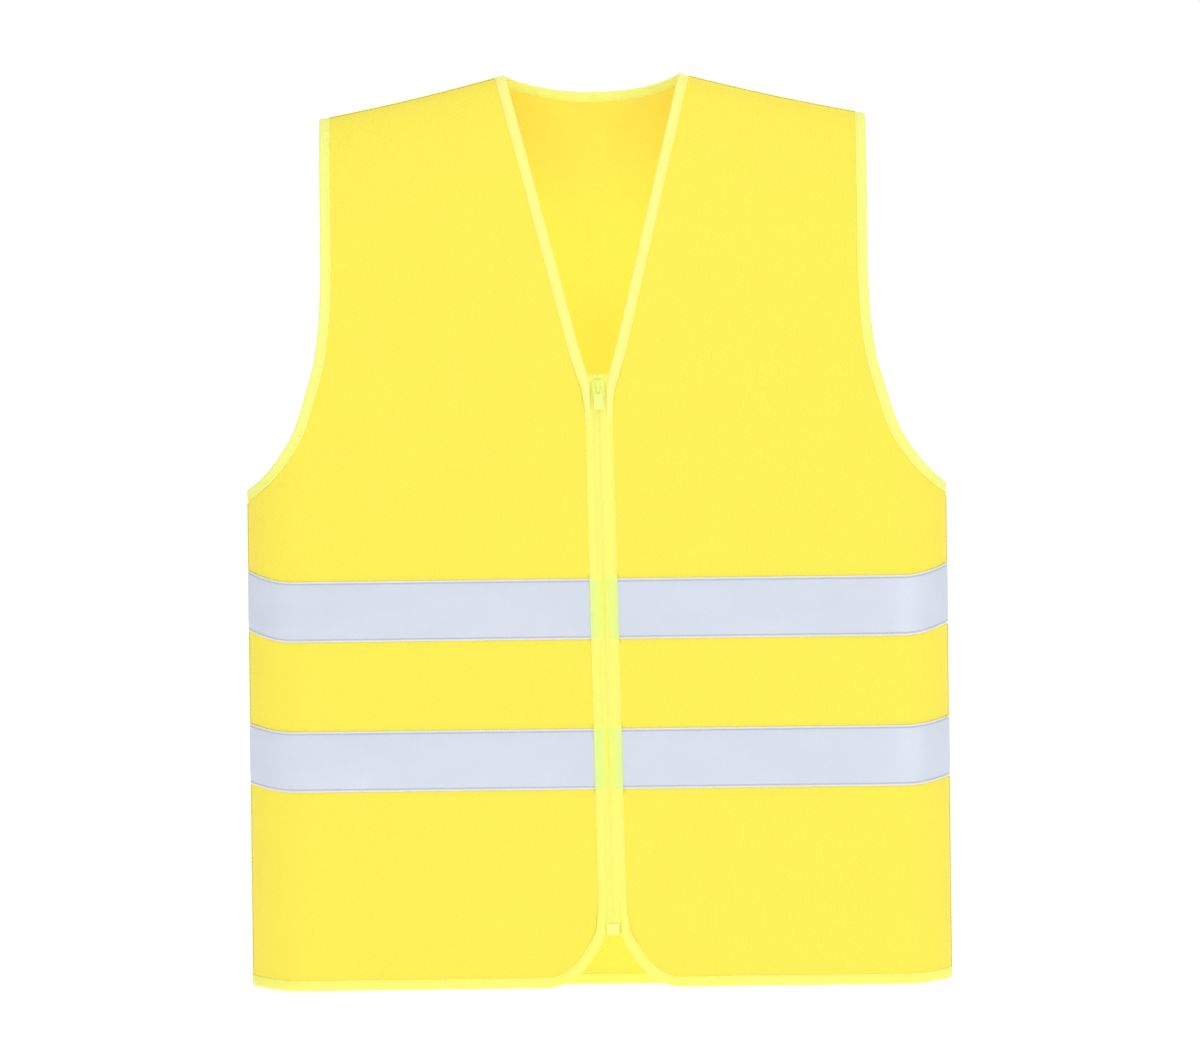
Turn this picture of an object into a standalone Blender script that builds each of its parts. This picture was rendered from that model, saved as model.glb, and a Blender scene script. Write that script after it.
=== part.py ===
"""High visibility vest: a sleeveless mesh-knit waistcoat with a V neck, a full length front zip,
bound armholes, neckline and hem, and two reflective bands round the chest.

Metres, +Z up, the front faces -Y. Left and right are the wearer's, so left is +X.
The cloth lies on one smooth surface: flat front and back, rounded sides and rounded shoulders.
Every sheet (panel, band, binding) is a grid laid on that surface at its own offset, then Solidify.

A place on the cloth is given by two lengths along the surface: "around", measured round the body
from the middle, and "down", measured from the shoulder line. Where a piece has a left and a right
version, sign is +1 on the left and -1 on the right, and its half widths are mirrored by it.
"""

import math

import bmesh
import bpy
import numpy as np
from mathutils import Vector

# ---------------------------------------------------------------- driving dimensions
SIDES = (("left", 1), ("right", -1))
FRONT, BACK = -1, 1

# body surface
HALF_WIDTH = 0.2890       # centre to side seam
HALF_DEPTH = 0.0450       # centre plane to the flat of the front and back
SIDE_ROUND = 0.0550       # width of the rounded part at each side
SHOULDER_ROUND = 0.1100   # height over which the shoulders round off
CENTRE_Y = 0.002675       # puts the middle of the overall depth on y = 0
FRONT_Y = CENTRE_Y - HALF_DEPTH
FLAT_X = HALF_WIDTH - SIDE_ROUND      # half width of the flat part

# shoulders and back neckline
NECK_X = 0.0720           # neck point, half width
NECK_Z = 0.7555           # neck point, height
SHOULDER_X = 0.2263       # shoulder tip, half width
SHOULDER_Z = 0.7205       # shoulder tip, height
NECK_CLIMB = 0.15         # slope of the surface's top line inside the neck point
SHOULDER_SAG = 0.0016     # dip of the shoulder line at its middle
BACK_NECK_Z = 0.7425      # lowest point of the back neckline
BACK_NECK_POWER = 2.2
BACK_NECK_FADE = 0.0120   # insets of the back neckline fade out this close to the shoulder line

# armhole edge, (height, half width), from the underarm to above the shoulder tip
ARMHOLE = [
    (0.4145, 0.2890), (0.4180, 0.2845), (0.4275, 0.2740), (0.4440, 0.2610), (0.4600, 0.2512),
    (0.4935, 0.2397), (0.5265, 0.2314), (0.5600, 0.2277), (0.6000, 0.2263), (0.7600, 0.2263),
]
ARMHOLE_CENTRE = (0.3100, 0.5800)     # a point inside the armhole (half width, height)

# V opening, zip line and hem
V_BOTTOM_Z = 0.5050       # foot of the V, top of the zip
V_BOTTOM_W = 0.0095       # half width of the opening there
V_SLOPE = (NECK_X - V_BOTTOM_W) / (NECK_Z - V_BOTTOM_Z)
V_STRETCH = math.hypot(1, V_SLOPE)    # sideways distance per distance square to the V edge
ZIP_X = 0.0021            # x of the zip line at ZIP_X_Z
ZIP_X_Z = 0.5000
ZIP_LEAN = 0.0155         # the zip leans towards +X by this much per metre of drop
ZIP_FOOT_Z = 0.0436       # foot of the zip, top of the rounded hem corners
CORNER_W = 0.0580         # width of a rounded hem corner
CORNER_FLAT = 0.0056      # level part of the hem beside the zip, within that width
CORNER_POWER = 2.5
CORNER_ZIP_Z = 0.0300     # the corners are measured from the zip line at this height
# lines round the body rise at the side seams: (height, rise)
RISE = ((0.0, 0.0040), (0.19, 0.0080), (0.315, 0.0110), (0.42, 0.0110))
RISE_SPAN = 0.0600        # length round the body over which they rise

# fold lines of the fronts, (half width, height)
FOLD_TOP = (0.0380, 0.6400)
FOLD_HEM = (0.1900, 0.0000)
FOLD_SLOPE = (FOLD_HEM[0] - FOLD_TOP[0]) / (FOLD_TOP[1] - FOLD_HEM[1])
FOLD_OFF = 0.0016         # the fold line runs just in front of the bands

# thicknesses, widths and offsets; offsets are between middles of thicknesses
CLOTH = 0.0005            # thickness of the mesh knit
TRIM = 0.0005             # thickness of bands and bindings
BINDING_W = 0.0085        # visible width of a binding
BINDING_OFF = 0.0010      # offset of a binding's legs from the cloth
BINDING_LINE = 0.0010     # a binding's path runs this far inside its outer edge
BINDING_STOP = 0.0012     # bindings stop this far from the fold line
BAND_W = 0.0500           # width of a reflective band
BAND_OFF = 0.00085        # offset of a band from the cloth
BANDS = (("upper", 0.2880), ("lower", 0.1640))    # height of each lower edge
EDGE = 0.0014             # the cloth stops this far inside the outer edge of its binding
HEM_INSET = 0.0015        # the same at the hem
SEAM = 0.00015            # half the gap at a seam
GAP = 0.0004              # half the gap at the fold line
BAND_FOLD_GAP = GAP + 0.0002          # the same for the bands

# ---------------------------------------------------------------- clean scene
for old in list(bpy.data.objects):
    bpy.data.objects.remove(old, do_unlink=True)
parts = bpy.data.collections.new("high_visibility_vest")
cutters = bpy.data.collections.new("cutters")
bpy.context.scene.collection.children.link(parts)
bpy.context.scene.collection.children.link(cutters)


# ---------------------------------------------------------------- materials
def material(name, colour, roughness, metallic=0.0):
    mat = bpy.data.materials.new(name)
    mat.use_nodes = True
    shader = mat.node_tree.nodes["Principled BSDF"]
    shader.inputs["Base Color"].default_value = colour
    shader.inputs["Roughness"].default_value = roughness
    shader.inputs["Metallic"].default_value = metallic
    return mat


LIME = (0.983, 0.863, 0.096, 1)
LIME_BACK = (0.981, 0.847, 0.075, 1)
LEMON = (0.950, 0.960, 0.210, 1)
TAPE_YELLOW = (0.990, 0.945, 0.216, 1)
SILVER = (0.694, 0.745, 0.831, 1)
PULL = (0.913, 0.991, 0.266, 1)

knit = material("mesh_knit", LIME, roughness=0.85)
knit_back = material("mesh_knit_back", LIME_BACK, roughness=0.85)
trim = material("binding_lemon", LEMON, roughness=0.7)
reflective = material("reflective_tape", SILVER, roughness=0.35, metallic=0.2)
tape_mat = material("zip_tape", TAPE_YELLOW, roughness=0.6)
coil_mat = material("zip_coil", TAPE_YELLOW, roughness=0.45)
stop_mat = material("zip_stops", PULL, roughness=0.4)
box_mat = material("retainer_plastic", PULL, roughness=0.35)
slider_mat = material("slider_paint", PULL, roughness=0.35, metallic=0.1)
pull_mat = material("pull_paint", PULL, roughness=0.3, metallic=0.1)


# ---------------------------------------------------------------- the surface the cloth lies on
def interp(pairs, value):
    return float(np.interp(value, [p[0] for p in pairs], [p[1] for p in pairs]))


def solve(function, low, high):
    """Root of function between low and high, where it changes sign."""
    low_positive = function(low) > 0
    for _ in range(60):
        mid = (low + high) / 2
        if (function(mid) > 0) == low_positive:
            low = mid
        else:
            high = mid
    return (low + high) / 2


def ridge(x):
    """Height of the shoulder line at half width x."""
    x = abs(x)
    if x < NECK_X:
        return NECK_Z + NECK_CLIMB * (NECK_X - x)
    s = (x - NECK_X) / (SHOULDER_X - NECK_X)
    return NECK_Z + (SHOULDER_Z - NECK_Z) * s - SHOULDER_SAG * math.sin(math.pi * min(s, 1.0))


def running_length(across, along):
    """Length of a sampled curve up to each of its points."""
    return np.concatenate([[0], np.cumsum(np.hypot(np.diff(across), np.diff(along)))])


# samples of the quarter ellipses that round the sides and the shoulders
TURN = np.linspace(0, math.pi / 2, 2001)
SIDE_X = FLAT_X + SIDE_ROUND * np.sin(TURN)
SIDE_Y = HALF_DEPTH * np.cos(TURN)
SIDE_AROUND = FLAT_X + running_length(SIDE_X, SIDE_Y)
SEAM_AROUND = float(SIDE_AROUND[-1])              # around at the side seam
TOP_DROP = SHOULDER_ROUND * (1 - np.cos(TURN))
TOP_DOWN = running_length(TOP_DROP, HALF_DEPTH * np.sin(TURN))
ROUND_DOWN = float(TOP_DOWN[-1])                  # down where the shoulder rounding ends


def around_of_x(x):
    size = abs(x)
    return math.copysign(size if size < FLAT_X else float(np.interp(size, SIDE_X, SIDE_AROUND)), x)


def x_of_around(around):
    size = abs(around)
    x = size if size < FLAT_X else float(np.interp(size, SIDE_AROUND, SIDE_X))
    return math.copysign(x, around)


def down_at(x, z):
    """Length down the surface from the shoulder line to height z."""
    drop = ridge(x) - z
    if drop < SHOULDER_ROUND:
        return float(np.interp(drop, TOP_DROP, TOP_DOWN))
    return ROUND_DOWN + drop - SHOULDER_ROUND


def drop_of_down(down):
    if down < ROUND_DOWN:
        return float(np.interp(down, TOP_DOWN, TOP_DROP))
    return SHOULDER_ROUND + down - ROUND_DOWN


def depth(around, down):
    """Distance of the cloth from the centre plane."""
    side = top = 1.0
    if abs(around) >= FLAT_X:
        side = float(np.interp(abs(around), SIDE_AROUND, SIDE_Y)) / HALF_DEPTH
    if down < ROUND_DOWN:
        top = math.sin(float(np.interp(down, TOP_DOWN, TURN)))
    return HALF_DEPTH * side * top


def on_cloth(facing, around, down):
    """Point of the surface on the front or the back."""
    x = x_of_around(around)
    return Vector((x, CENTRE_Y + facing * depth(around, down), ridge(x) - drop_of_down(down)))


def field(point):
    """Zero on the surface, positive outside it."""
    side = max(0.0, (abs(point[0]) - FLAT_X) / SIDE_ROUND)
    top = max(0.0, 1 - (ridge(point[0]) - point[2]) / SHOULDER_ROUND)
    return ((point[1] - CENTRE_Y) / HALF_DEPTH) ** 2 - (1 - side * side) * (1 - top * top)


def slope(point):
    """Gradient of the field, by central differences."""
    step = 1e-5

    def moved(axis, by):
        return [point[k] + by * (axis == k) for k in range(3)]

    return Vector([(field(moved(i, step)) - field(moved(i, -step))) / (2 * step)
                   for i in range(3)])


def onto(point):
    """Point of the surface reached from point by following the gradient."""
    point = Vector(point)
    for _ in range(8):
        gradient = slope(point)
        point -= gradient * (field(point) / gradient.length_squared)
    return point


def lift(point, off):
    """Point at a distance off outside the surface point."""
    return point + slope(point).normalized() * off


# ---------------------------------------------------------------- pattern lines
def zip_x(z):
    """x of the zip line; above the zip it runs back to the middle at the neck."""
    if z > V_BOTTOM_Z:
        return zip_x(V_BOTTOM_Z) * (NECK_Z - z) / (NECK_Z - V_BOTTOM_Z)
    return ZIP_X + (ZIP_X_Z - z) * ZIP_LEAN


def v_x(sign, z, inset):
    """Half width of the V edge on one side, moved sideways into the cloth by inset."""
    return sign * zip_x(z) + V_BOTTOM_W + (z - V_BOTTOM_Z) * V_SLOPE + inset


def fold_x(z):
    return FOLD_HEM[0] - (z - FOLD_HEM[1]) * FOLD_SLOPE


def v_meets_fold(sign, inset, past_fold=0.0):
    """Height where the V edge line reaches the fold line moved outwards by past_fold."""
    return solve(lambda z: v_x(sign, z, inset) - (fold_x(z) + past_fold), 0.55, 0.70)


def armhole_z(around, inset):
    """Height of the curved lower part of the armhole edge, moved into the cloth by inset."""
    widths = [w for _, w in ARMHOLE[-2::-1]]
    heights = [h for h, _ in ARMHOLE[-2::-1]]

    def height(a):
        return float(np.interp(x_of_around(min(a, SEAM_AROUND)), widths, heights))

    step = 0.002
    lean = (height(around + step) - height(around - step)) / (2 * step)
    return height(around) - inset * math.hypot(1, lean)


def armhole_x(z, inset):
    """Half width of the armhole edge at height z, moved into the cloth by inset."""
    step = 1e-4
    lean = (interp(ARMHOLE, z + step) - interp(ARMHOLE, z - step)) / (2 * step)
    return interp(ARMHOLE, z) - inset * math.hypot(1, lean)


def rise(around, z):
    """How far a line round the body climbs towards the side seam."""
    t = min(1.0, max(0.0, (abs(around) - (SEAM_AROUND - RISE_SPAN)) / RISE_SPAN))
    return interp(RISE, z) * t * t * (3 - 2 * t)


CORNER_ZIP_X = zip_x(CORNER_ZIP_Z)


def hem_z(facing, x, inset):
    """Height of the hem edge; the fronts sweep up to the foot of the zip."""
    z = rise(around_of_x(x), 0.0) + inset
    if facing == FRONT:
        past_flat = max(0.0, abs(x - CORNER_ZIP_X) - CORNER_FLAT - inset)
        z += ZIP_FOOT_Z * max(0.0, 1 - past_flat / (CORNER_W - CORNER_FLAT)) ** CORNER_POWER
    return z


def neckline_down(x, inset):
    """How far the back neckline lies below the shoulder line; it meets it at the neck point."""
    x = abs(x) * NECK_X / (NECK_X + inset)
    if x >= NECK_X:
        return 0.0
    z = BACK_NECK_Z + (NECK_Z - BACK_NECK_Z) * (x / NECK_X) ** BACK_NECK_POWER
    down = down_at(x, z)
    return down + inset * min(1.0, down / BACK_NECK_FADE)


def neckline_x(down, inset):
    """Half width where the back neckline is this far down."""
    return solve(lambda x: neckline_down(x, inset) - down, 0.0, NECK_X + inset)


def z_on_edge(edge_x, down):
    """Height where the edge line edge_x(z) is this far down."""
    return solve(lambda z: down_at(edge_x(z), z) - down, 0.60, 0.7640)


# ---------------------------------------------------------------- rows and columns of the grids
# distances of the top rows from the shoulder line
TOP_ROWS = [0.0, 0.006, 0.012, 0.018, 0.025, 0.033, 0.043, 0.056, 0.074, 0.095, 0.115]
HIGH_ROWS = [0.535, 0.560, 0.590, 0.620]          # heights beside the steep part of the armhole
SIDE_COLS = 9


def side_columns(edge=SEAM_AROUND):
    """Columns round the side, the same for every layer so that facets match.

    Those past the edge fold onto it.
    """
    span = SEAM_AROUND - FLAT_X
    return [min(SEAM_AROUND - span * k / SIDE_COLS, edge) for k in range(SIDE_COLS, -1, -1)]


TURN_COLUMNS = side_columns()[:-1]                # all but the one on the side seam

# level rows of the panels, (height, around at the outer edge), from the hem up: those below the
# armhole, then one where the armhole meets each side column, then the high ones
UNDERARM_Z = armhole_z(SEAM_AROUND, EDGE)
LEVEL_ROWS = [(z, SEAM_AROUND - SEAM) for z in (0.0, 0.14, 0.28, UNDERARM_Z)]
LEVEL_ROWS += [(armhole_z(around, EDGE), around) for around in reversed(TURN_COLUMNS)]
LEVEL_ROWS += [(z, around_of_x(armhole_x(z, EDGE))) for z in HIGH_ROWS]


def level_down(around, z):
    """How far down a level row lies; the low ones follow the rise of the hem."""
    lifted = HEM_INSET * (z == 0) + rise(around, 0.0) * max(0.0, 1 - z / UNDERARM_Z)
    return down_at(x_of_around(around), z + lifted)


def shoulder_rows():
    """Rows that follow the shoulder line, (down, half width at the armhole), upwards."""
    rows = []
    for row in reversed(TOP_ROWS):
        down = max(row, SEAM)
        z = z_on_edge(lambda z: armhole_x(z, EDGE), down)
        rows.append((down, armhole_x(z, EDGE)))
    return rows


# ---------------------------------------------------------------- objects
def attach(obj, parent):
    """Parents obj and leaves it where it stands."""
    obj.parent = parent
    obj.matrix_parent_inverse = parent.matrix_world.inverted()


def empty(name, location, rotation, parent=None):
    obj = bpy.data.objects.new(name, None)
    obj.empty_display_size = 0.03
    parts.objects.link(obj)
    obj.location = location
    obj.rotation_euler = rotation
    if parent:
        attach(obj, parent)
    bpy.context.view_layer.update()
    return obj


def sheet(name, rows, mat, thickness, parent=None):
    """Grid laid on rows of points, thickened evenly to both sides."""
    row_count, column_count = len(rows), len(rows[0])
    bm = bmesh.new()
    bmesh.ops.create_grid(bm, x_segments=column_count - 1, y_segments=row_count - 1, size=1.0)
    for vert in bm.verts:
        i = round((vert.co.x + 1) / 2 * (column_count - 1))
        j = round((vert.co.y + 1) / 2 * (row_count - 1))
        vert.co = rows[j][i]
    bmesh.ops.remove_doubles(bm, verts=bm.verts, dist=1e-6)
    bmesh.ops.recalc_face_normals(bm, faces=bm.faces)
    mesh = bpy.data.meshes.new(name)
    bm.to_mesh(mesh)
    bm.free()
    mesh.materials.append(mat)
    mesh.shade_smooth()
    obj = bpy.data.objects.new(name, mesh)
    parts.objects.link(obj)
    if parent:
        attach(obj, parent)
    solid = obj.modifiers.new("thickness", "SOLIDIFY")
    solid.thickness = thickness
    solid.offset = 0.0
    solid.use_even_offset = True


def binding(name, path, into, parent=None, loop=False, steps=1, reach=None):
    """Strip folded over an edge.

    path: points along the edge line; into: gives a direction that points into the cloth;
    steps: segments across a leg; reach: limits how far the legs run into the cloth at a point.
    """
    count = len(path)
    full_width = BINDING_W - BINDING_LINE
    outside = BINDING_LINE - TRIM / 2             # the strip's middle runs this far past the path
    rows = []
    for i, point in enumerate(path):
        width = min(full_width, reach(point)) if reach else full_width
        leg = [width - (width + outside) * k / steps for k in range(steps + 1)]
        profile = [(s, BINDING_OFF) for s in leg] + [(s, -BINDING_OFF) for s in reversed(leg)]
        if loop:
            tangent = path[(i + 1) % count] - path[i - 1]
        else:
            tangent = path[min(i + 1, count - 1)] - path[max(i - 1, 0)]
        inward = slope(point).cross(tangent).normalized()
        if inward.dot(into(point)) < 0:
            inward.negate()
        rows.append([lift(onto(point + inward * s), off) for s, off in profile])
    if loop:
        rows.append(rows[0])
    sheet(name, rows, trim, TRIM, parent)


def band(name, facing, columns, z_low, parent=None):
    """Band of constant width; columns are (around at the lower edge, at the upper edge)."""
    rows = []
    for k, z in enumerate((z_low, z_low + BAND_W)):
        row = []
        for column in columns:
            around = column[k]
            down = down_at(x_of_around(around), z + rise(around, z_low))
            row.append(lift(on_cloth(facing, around, down), BAND_OFF))
        rows.append(row)
    sheet(name, rows, reflective, TRIM, parent)


# ---------------------------------------------------------------- cloth panels
def back_panel():
    neck_columns = [0.0, 0.020, 0.040]
    neck_columns += [neckline_x(down, EDGE) for down in (0.018, 0.012, 0.006)]
    neck_columns += [NECK_X + EDGE]

    def row(edge, down_of):
        outer = side_columns(edge)
        neck = neck_columns[-1]
        half = neck_columns + [neck + (outer[0] - neck) * k / 3 for k in (1, 2)] + outer
        return [on_cloth(BACK, a, down_of(a)) for a in [-h for h in reversed(half)] + half[1:]]

    rows = [row(edge, lambda a: level_down(a, z)) for z, edge in LEVEL_ROWS]
    rows += [row(edge, lambda a: max(down, neckline_down(a, EDGE)))
             for down, edge in shoulder_rows()]
    sheet("back_panel", rows, knit_back, CLOTH)


def front_side(side, sign):
    """Outer part of a front, between the fold line and the side seam."""
    z_fold = v_meets_fold(sign, BINDING_LINE * V_STRETCH)

    def inner_x(z):
        v_edge = v_x(sign, z, EDGE * V_STRETCH)
        return max(v_edge, fold_x(z) + GAP) if z < z_fold + 0.01 else v_edge

    def row(inner, edge, down_of):
        outer = side_columns(edge)
        half = [inner + (outer[0] - inner) * k / 3 for k in range(3)] + outer
        if sign < 0:
            half = [-h for h in reversed(half)]
        return [on_cloth(FRONT, a, down_of(a)) for a in half]

    rows = [row(inner_x(z), edge, lambda a: level_down(a, z)) for z, edge in LEVEL_ROWS]
    rows += [row(inner_x(z_on_edge(inner_x, down)), edge, lambda a: down)
             for down, edge in shoulder_rows()]
    sheet(f"front_side_{side}", rows, knit, CLOTH)


FOLD_ROWS, FOLD_COLS = 10, 12
FOLD_COL_POWER = 1.5      # crowds the columns towards the zip
PANEL_ZIP_X = 0.0065      # the cloth stops this far from the zip line


def front_fold(side, sign):
    """Folding part of a front, flat: zip edge and V edge inside, fold line outside."""
    z_tip = v_meets_fold(sign, EDGE * V_STRETCH, -GAP) - 0.001
    z_foot = hem_z(FRONT, CORNER_ZIP_X + sign * PANEL_ZIP_X, HEM_INSET)

    def inner(v):
        z = min(z_foot + v * (z_tip - ZIP_FOOT_Z), z_tip)
        x = sign * zip_x(z) + PANEL_ZIP_X
        if z > V_BOTTOM_Z - 0.03:
            x = max(x, v_x(sign, z, EDGE * V_STRETCH))
        return x, z

    def outer(v):
        z = HEM_INSET + v * (z_tip - HEM_INSET)
        return fold_x(z) - GAP, z

    foot_in, foot_out = inner(0), outer(0)
    rows = []
    for j in range(FOLD_ROWS + 1):
        v = j / FOLD_ROWS
        (x_in, z_in), (x_out, z_out) = inner(v), outer(v)
        row = []
        for i in range(FOLD_COLS + 1):
            u = (i / FOLD_COLS) ** FOLD_COL_POWER
            # the low rows bend to the curve of the hem
            foot_x = foot_in[0] + (foot_out[0] - foot_in[0]) * u
            straight_z = foot_in[1] + (foot_out[1] - foot_in[1]) * u
            bend = hem_z(FRONT, sign * foot_x, HEM_INSET) - straight_z
            x = x_in + (x_out - x_in) * u
            z = z_in + (z_out - z_in) * u + bend * (1 - v) ** 3
            row.append(Vector((sign * x, FRONT_Y, z)))
        rows.append(row)
    sheet(f"front_fold_{side}", rows, knit, CLOTH, hinge[side])


# ---------------------------------------------------------------- bindings
def armhole_binding(side, sign):
    def edge_x(z):
        return armhole_x(z, BINDING_LINE)

    places = []                                   # (around, down), shoulder to underarm
    for down in TOP_ROWS:
        z = z_on_edge(edge_x, down) if down else ridge(SHOULDER_X)
        places.append((edge_x(z), down))
    for z in reversed(HIGH_ROWS):
        places.append((edge_x(z), down_at(edge_x(z), z)))
    for around in TURN_COLUMNS:
        z = armhole_z(around, BINDING_LINE)
        places.append((around, down_at(x_of_around(around), z)))
    seam_down = down_at(HALF_WIDTH, armhole_z(SEAM_AROUND, BINDING_LINE))
    path = [on_cloth(FRONT, sign * SEAM_AROUND, seam_down)]
    path += [on_cloth(FRONT, sign * around, down) for around, down in reversed(places)]
    path += [on_cloth(BACK, sign * around, down) for around, down in places[1:]]
    centre = Vector((sign * ARMHOLE_CENTRE[0], CENTRE_Y, ARMHOLE_CENTRE[1]))
    binding(f"armhole_binding_{side}", path, lambda p: p - centre, loop=True)


def neck_half(sign):
    """Half the neckline: up the V edge, over the shoulder line and towards the middle back."""
    def line_x(z):
        return v_x(sign, z, BINDING_LINE)

    z_start = v_meets_fold(sign, BINDING_LINE, BINDING_STOP)
    points = [Vector((sign * line_x(z_start), FRONT_Y, z_start))]
    for down in reversed(TOP_ROWS):
        z = z_on_edge(line_x, down) if down else ridge(NECK_X + BINDING_LINE)
        points.append(on_cloth(FRONT, sign * line_x(z), down))
    back_x = [neckline_x(down, BINDING_LINE) for down in (0.006, 0.012, 0.018, 0.025)]
    for x in back_x + [0.040, 0.020]:
        points.append(on_cloth(BACK, sign * x, neckline_down(x, BINDING_LINE)))
    return points


def away_from_neck(point):
    if point.y > CENTRE_Y + 0.012:
        return Vector((point.x * 0.8, 0, -0.10))
    return Vector((math.copysign(1, point.x), 0, 0))


def neck_binding():
    middle = on_cloth(BACK, 0.0, neckline_down(0, BINDING_LINE))
    path = neck_half(-1) + [middle] + neck_half(1)[::-1]
    binding("neck_binding", path, away_from_neck, steps=3)


V_TIP_STOP = 0.0022       # the V bindings end this far short of the fold line


def v_binding(side, sign):
    """Lower part of the V; its legs taper off along the fold line, so that none lies past it."""
    # distance towards the fold line covered per length of leg
    spread = (1 - V_SLOPE * FOLD_SLOPE) / V_STRETCH
    z_full = v_meets_fold(sign, BINDING_LINE, -BINDING_STOP - spread * BINDING_W)
    z_end = v_meets_fold(sign, BINDING_LINE, -V_TIP_STOP)
    heights = list(np.linspace(V_BOTTOM_Z - 0.001, z_full, 5)) + [(z_full + z_end) / 2, z_end]
    path = [Vector((sign * v_x(sign, z, BINDING_LINE), FRONT_Y, z)) for z in heights]
    binding(f"v_binding_{side}", path, lambda p: Vector((sign, 0, 0)), hinge[side],
            reach=lambda p: (fold_x(p.z) - BINDING_STOP - abs(p.x)) / spread)


def hem_binding_back():
    """Back length of the hem; it runs round both sides to the fold lines."""
    stop = fold_x(0) + BINDING_STOP
    front = [stop, (stop + TURN_COLUMNS[0]) / 2] + TURN_COLUMNS
    places = [(FRONT, -a) for a in front + [SEAM_AROUND]]
    places += [(BACK, -a) for a in reversed(TURN_COLUMNS)]
    places += [(BACK, a) for a in [-0.12, 0.0, 0.12] + TURN_COLUMNS + [SEAM_AROUND]]
    places += [(FRONT, a) for a in reversed(front)]
    path = []
    for facing, around in places:
        x = x_of_around(around)
        path.append(on_cloth(facing, around, down_at(x, hem_z(facing, x, BINDING_LINE))))
    binding("hem_binding_back", path, lambda p: Vector((0, 0, 1)))


HEM_ZIP_X = 0.0066        # the front hem bindings start this far from the zip line
HEM_POINT_POWER = 1.9     # crowds their points towards the zip


def hem_binding_front(side, sign):
    x_start = sign * CORNER_ZIP_X + HEM_ZIP_X
    x_stop = fold_x(0) - BINDING_STOP
    path = []
    for u in np.linspace(0, 1, 13):
        x = sign * (x_start + (x_stop - x_start) * u ** HEM_POINT_POWER)
        path.append(Vector((x, FRONT_Y, hem_z(FRONT, x, BINDING_LINE))))
    binding(f"hem_binding_{side}", path, lambda p: Vector((sign * 0.7, 0, 1)), hinge[side])


# ---------------------------------------------------------------- zip dimensions
# "out" is a distance in front of the cloth; x is measured from the zip line; the spans of a
# piece are (low, high) about its own origin, those beside the zip line being for the left side
ZIP_ANGLE = -math.atan(ZIP_LEAN)
TAPE_IN, TAPE_OUT = 0.0053, 0.0116                # zip tape edges
TAPE_OFF = 0.00165                                # middle of the tape's thickness
TAPE_HALF_THICK = 0.0003
TAPE_TOP, TAPE_FOOT = 0.5070, 0.0445
BAND_TAPE_GAP = 0.0003                            # band end to tape edge
COIL_TOP = 0.4990
COIL_FOOT = {"right": 0.0535, "left": 0.0605}
# coil section, (x, out)
COIL_SECTION = [
    (0.00015, 0.0004), (0.0034, 0.0004), (0.0034, 0.00135),
    (0.0050, 0.00135), (0.0050, 0.00195), (0.00015, 0.00195),
]
STOP_X, STOP_OUT, STOP_SPAN = (0.0006, 0.0034), (0.0002, 0.0023), (-0.0015, 0.0015)
STOP_Z = 0.5047
BOX_X, BOX_OUT, BOX_SPAN = (-0.0051, 0.0051), (-0.0006, 0.0029), (-0.0046, 0.0046)
BOX_Z = 0.0481
POCKET_X, POCKET_OUT, POCKET_SPAN = (0.0, 0.0080), (-0.0020, 0.0022), (-0.0039, 0.0080)
PIN_RADIUS, PIN_LENGTH, PIN_Z = 0.0007, 0.0155, 0.0524
PIN_X, PIN_OUT = 0.0012, 0.0012

SLIDER_Z = 0.4955                                 # middle of the slider, zip closed
FRONT_PLATE = (0.0023, 0.0034)                    # out
BACK_PLATE = (-0.0010, 0.0001)
# slider plate, (x, z)
PLATE = [
    (-0.0040, -0.0070), (0.0040, -0.0070), (0.0049, -0.0060), (0.0049, 0.0034),
    (0.0044, 0.0052), (0.0034, 0.0064), (0.0020, 0.0070), (-0.0020, 0.0070),
    (-0.0034, 0.0064), (-0.0044, 0.0052), (-0.0049, 0.0034), (-0.0049, -0.0060),
]
POST_X, POST_OUT, POST_SPAN = (-0.0011, 0.0011), (0.0, 0.0024), (0.0040, 0.0066)
FLANGE_X, FLANGE_OUT, FLANGE_SPAN = (0.0038, 0.0049), (0.0, 0.0011), (-0.0060, 0.0034)
BAIL_HALF_WIDTH = 0.0011
# bail from the side, a flat arch, (z, out)
BAIL = [
    (-0.0040, 0.0032), (-0.0040, 0.0055), (-0.0037, 0.0062), (-0.0030, 0.0066),
    (0.0050, 0.0066), (0.0058, 0.0062), (0.0062, 0.0054), (0.0062, 0.0032),
    (0.0052, 0.0032), (0.0052, 0.0051), (0.0047, 0.0056), (-0.0025, 0.0056),
    (-0.0030, 0.0051), (-0.0030, 0.0032),
]
TAB_Z = SLIDER_Z - 0.0012                         # axis on which the pull tab swings
TAB_OUT = 0.0045
TAB_HALF_THICK = 0.0005
# pull tab and the eye in it, (x, z) from the swing axis
TAB = [
    (-0.0026, 0.0005), (0.0026, 0.0005), (0.0030, 0.0001), (0.0030, -0.0036),
    (0.0037, -0.0046), (0.0037, -0.0150), (0.0033, -0.0161), (0.0024, -0.0165),
    (-0.0024, -0.0165), (-0.0033, -0.0161), (-0.0037, -0.0150), (-0.0037, -0.0046),
    (-0.0030, -0.0036), (-0.0030, 0.0001),
]
TAB_EYE = [(-0.0015, -0.0005), (-0.0015, -0.0034), (0.0015, -0.0034), (0.0015, -0.0005)]


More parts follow.
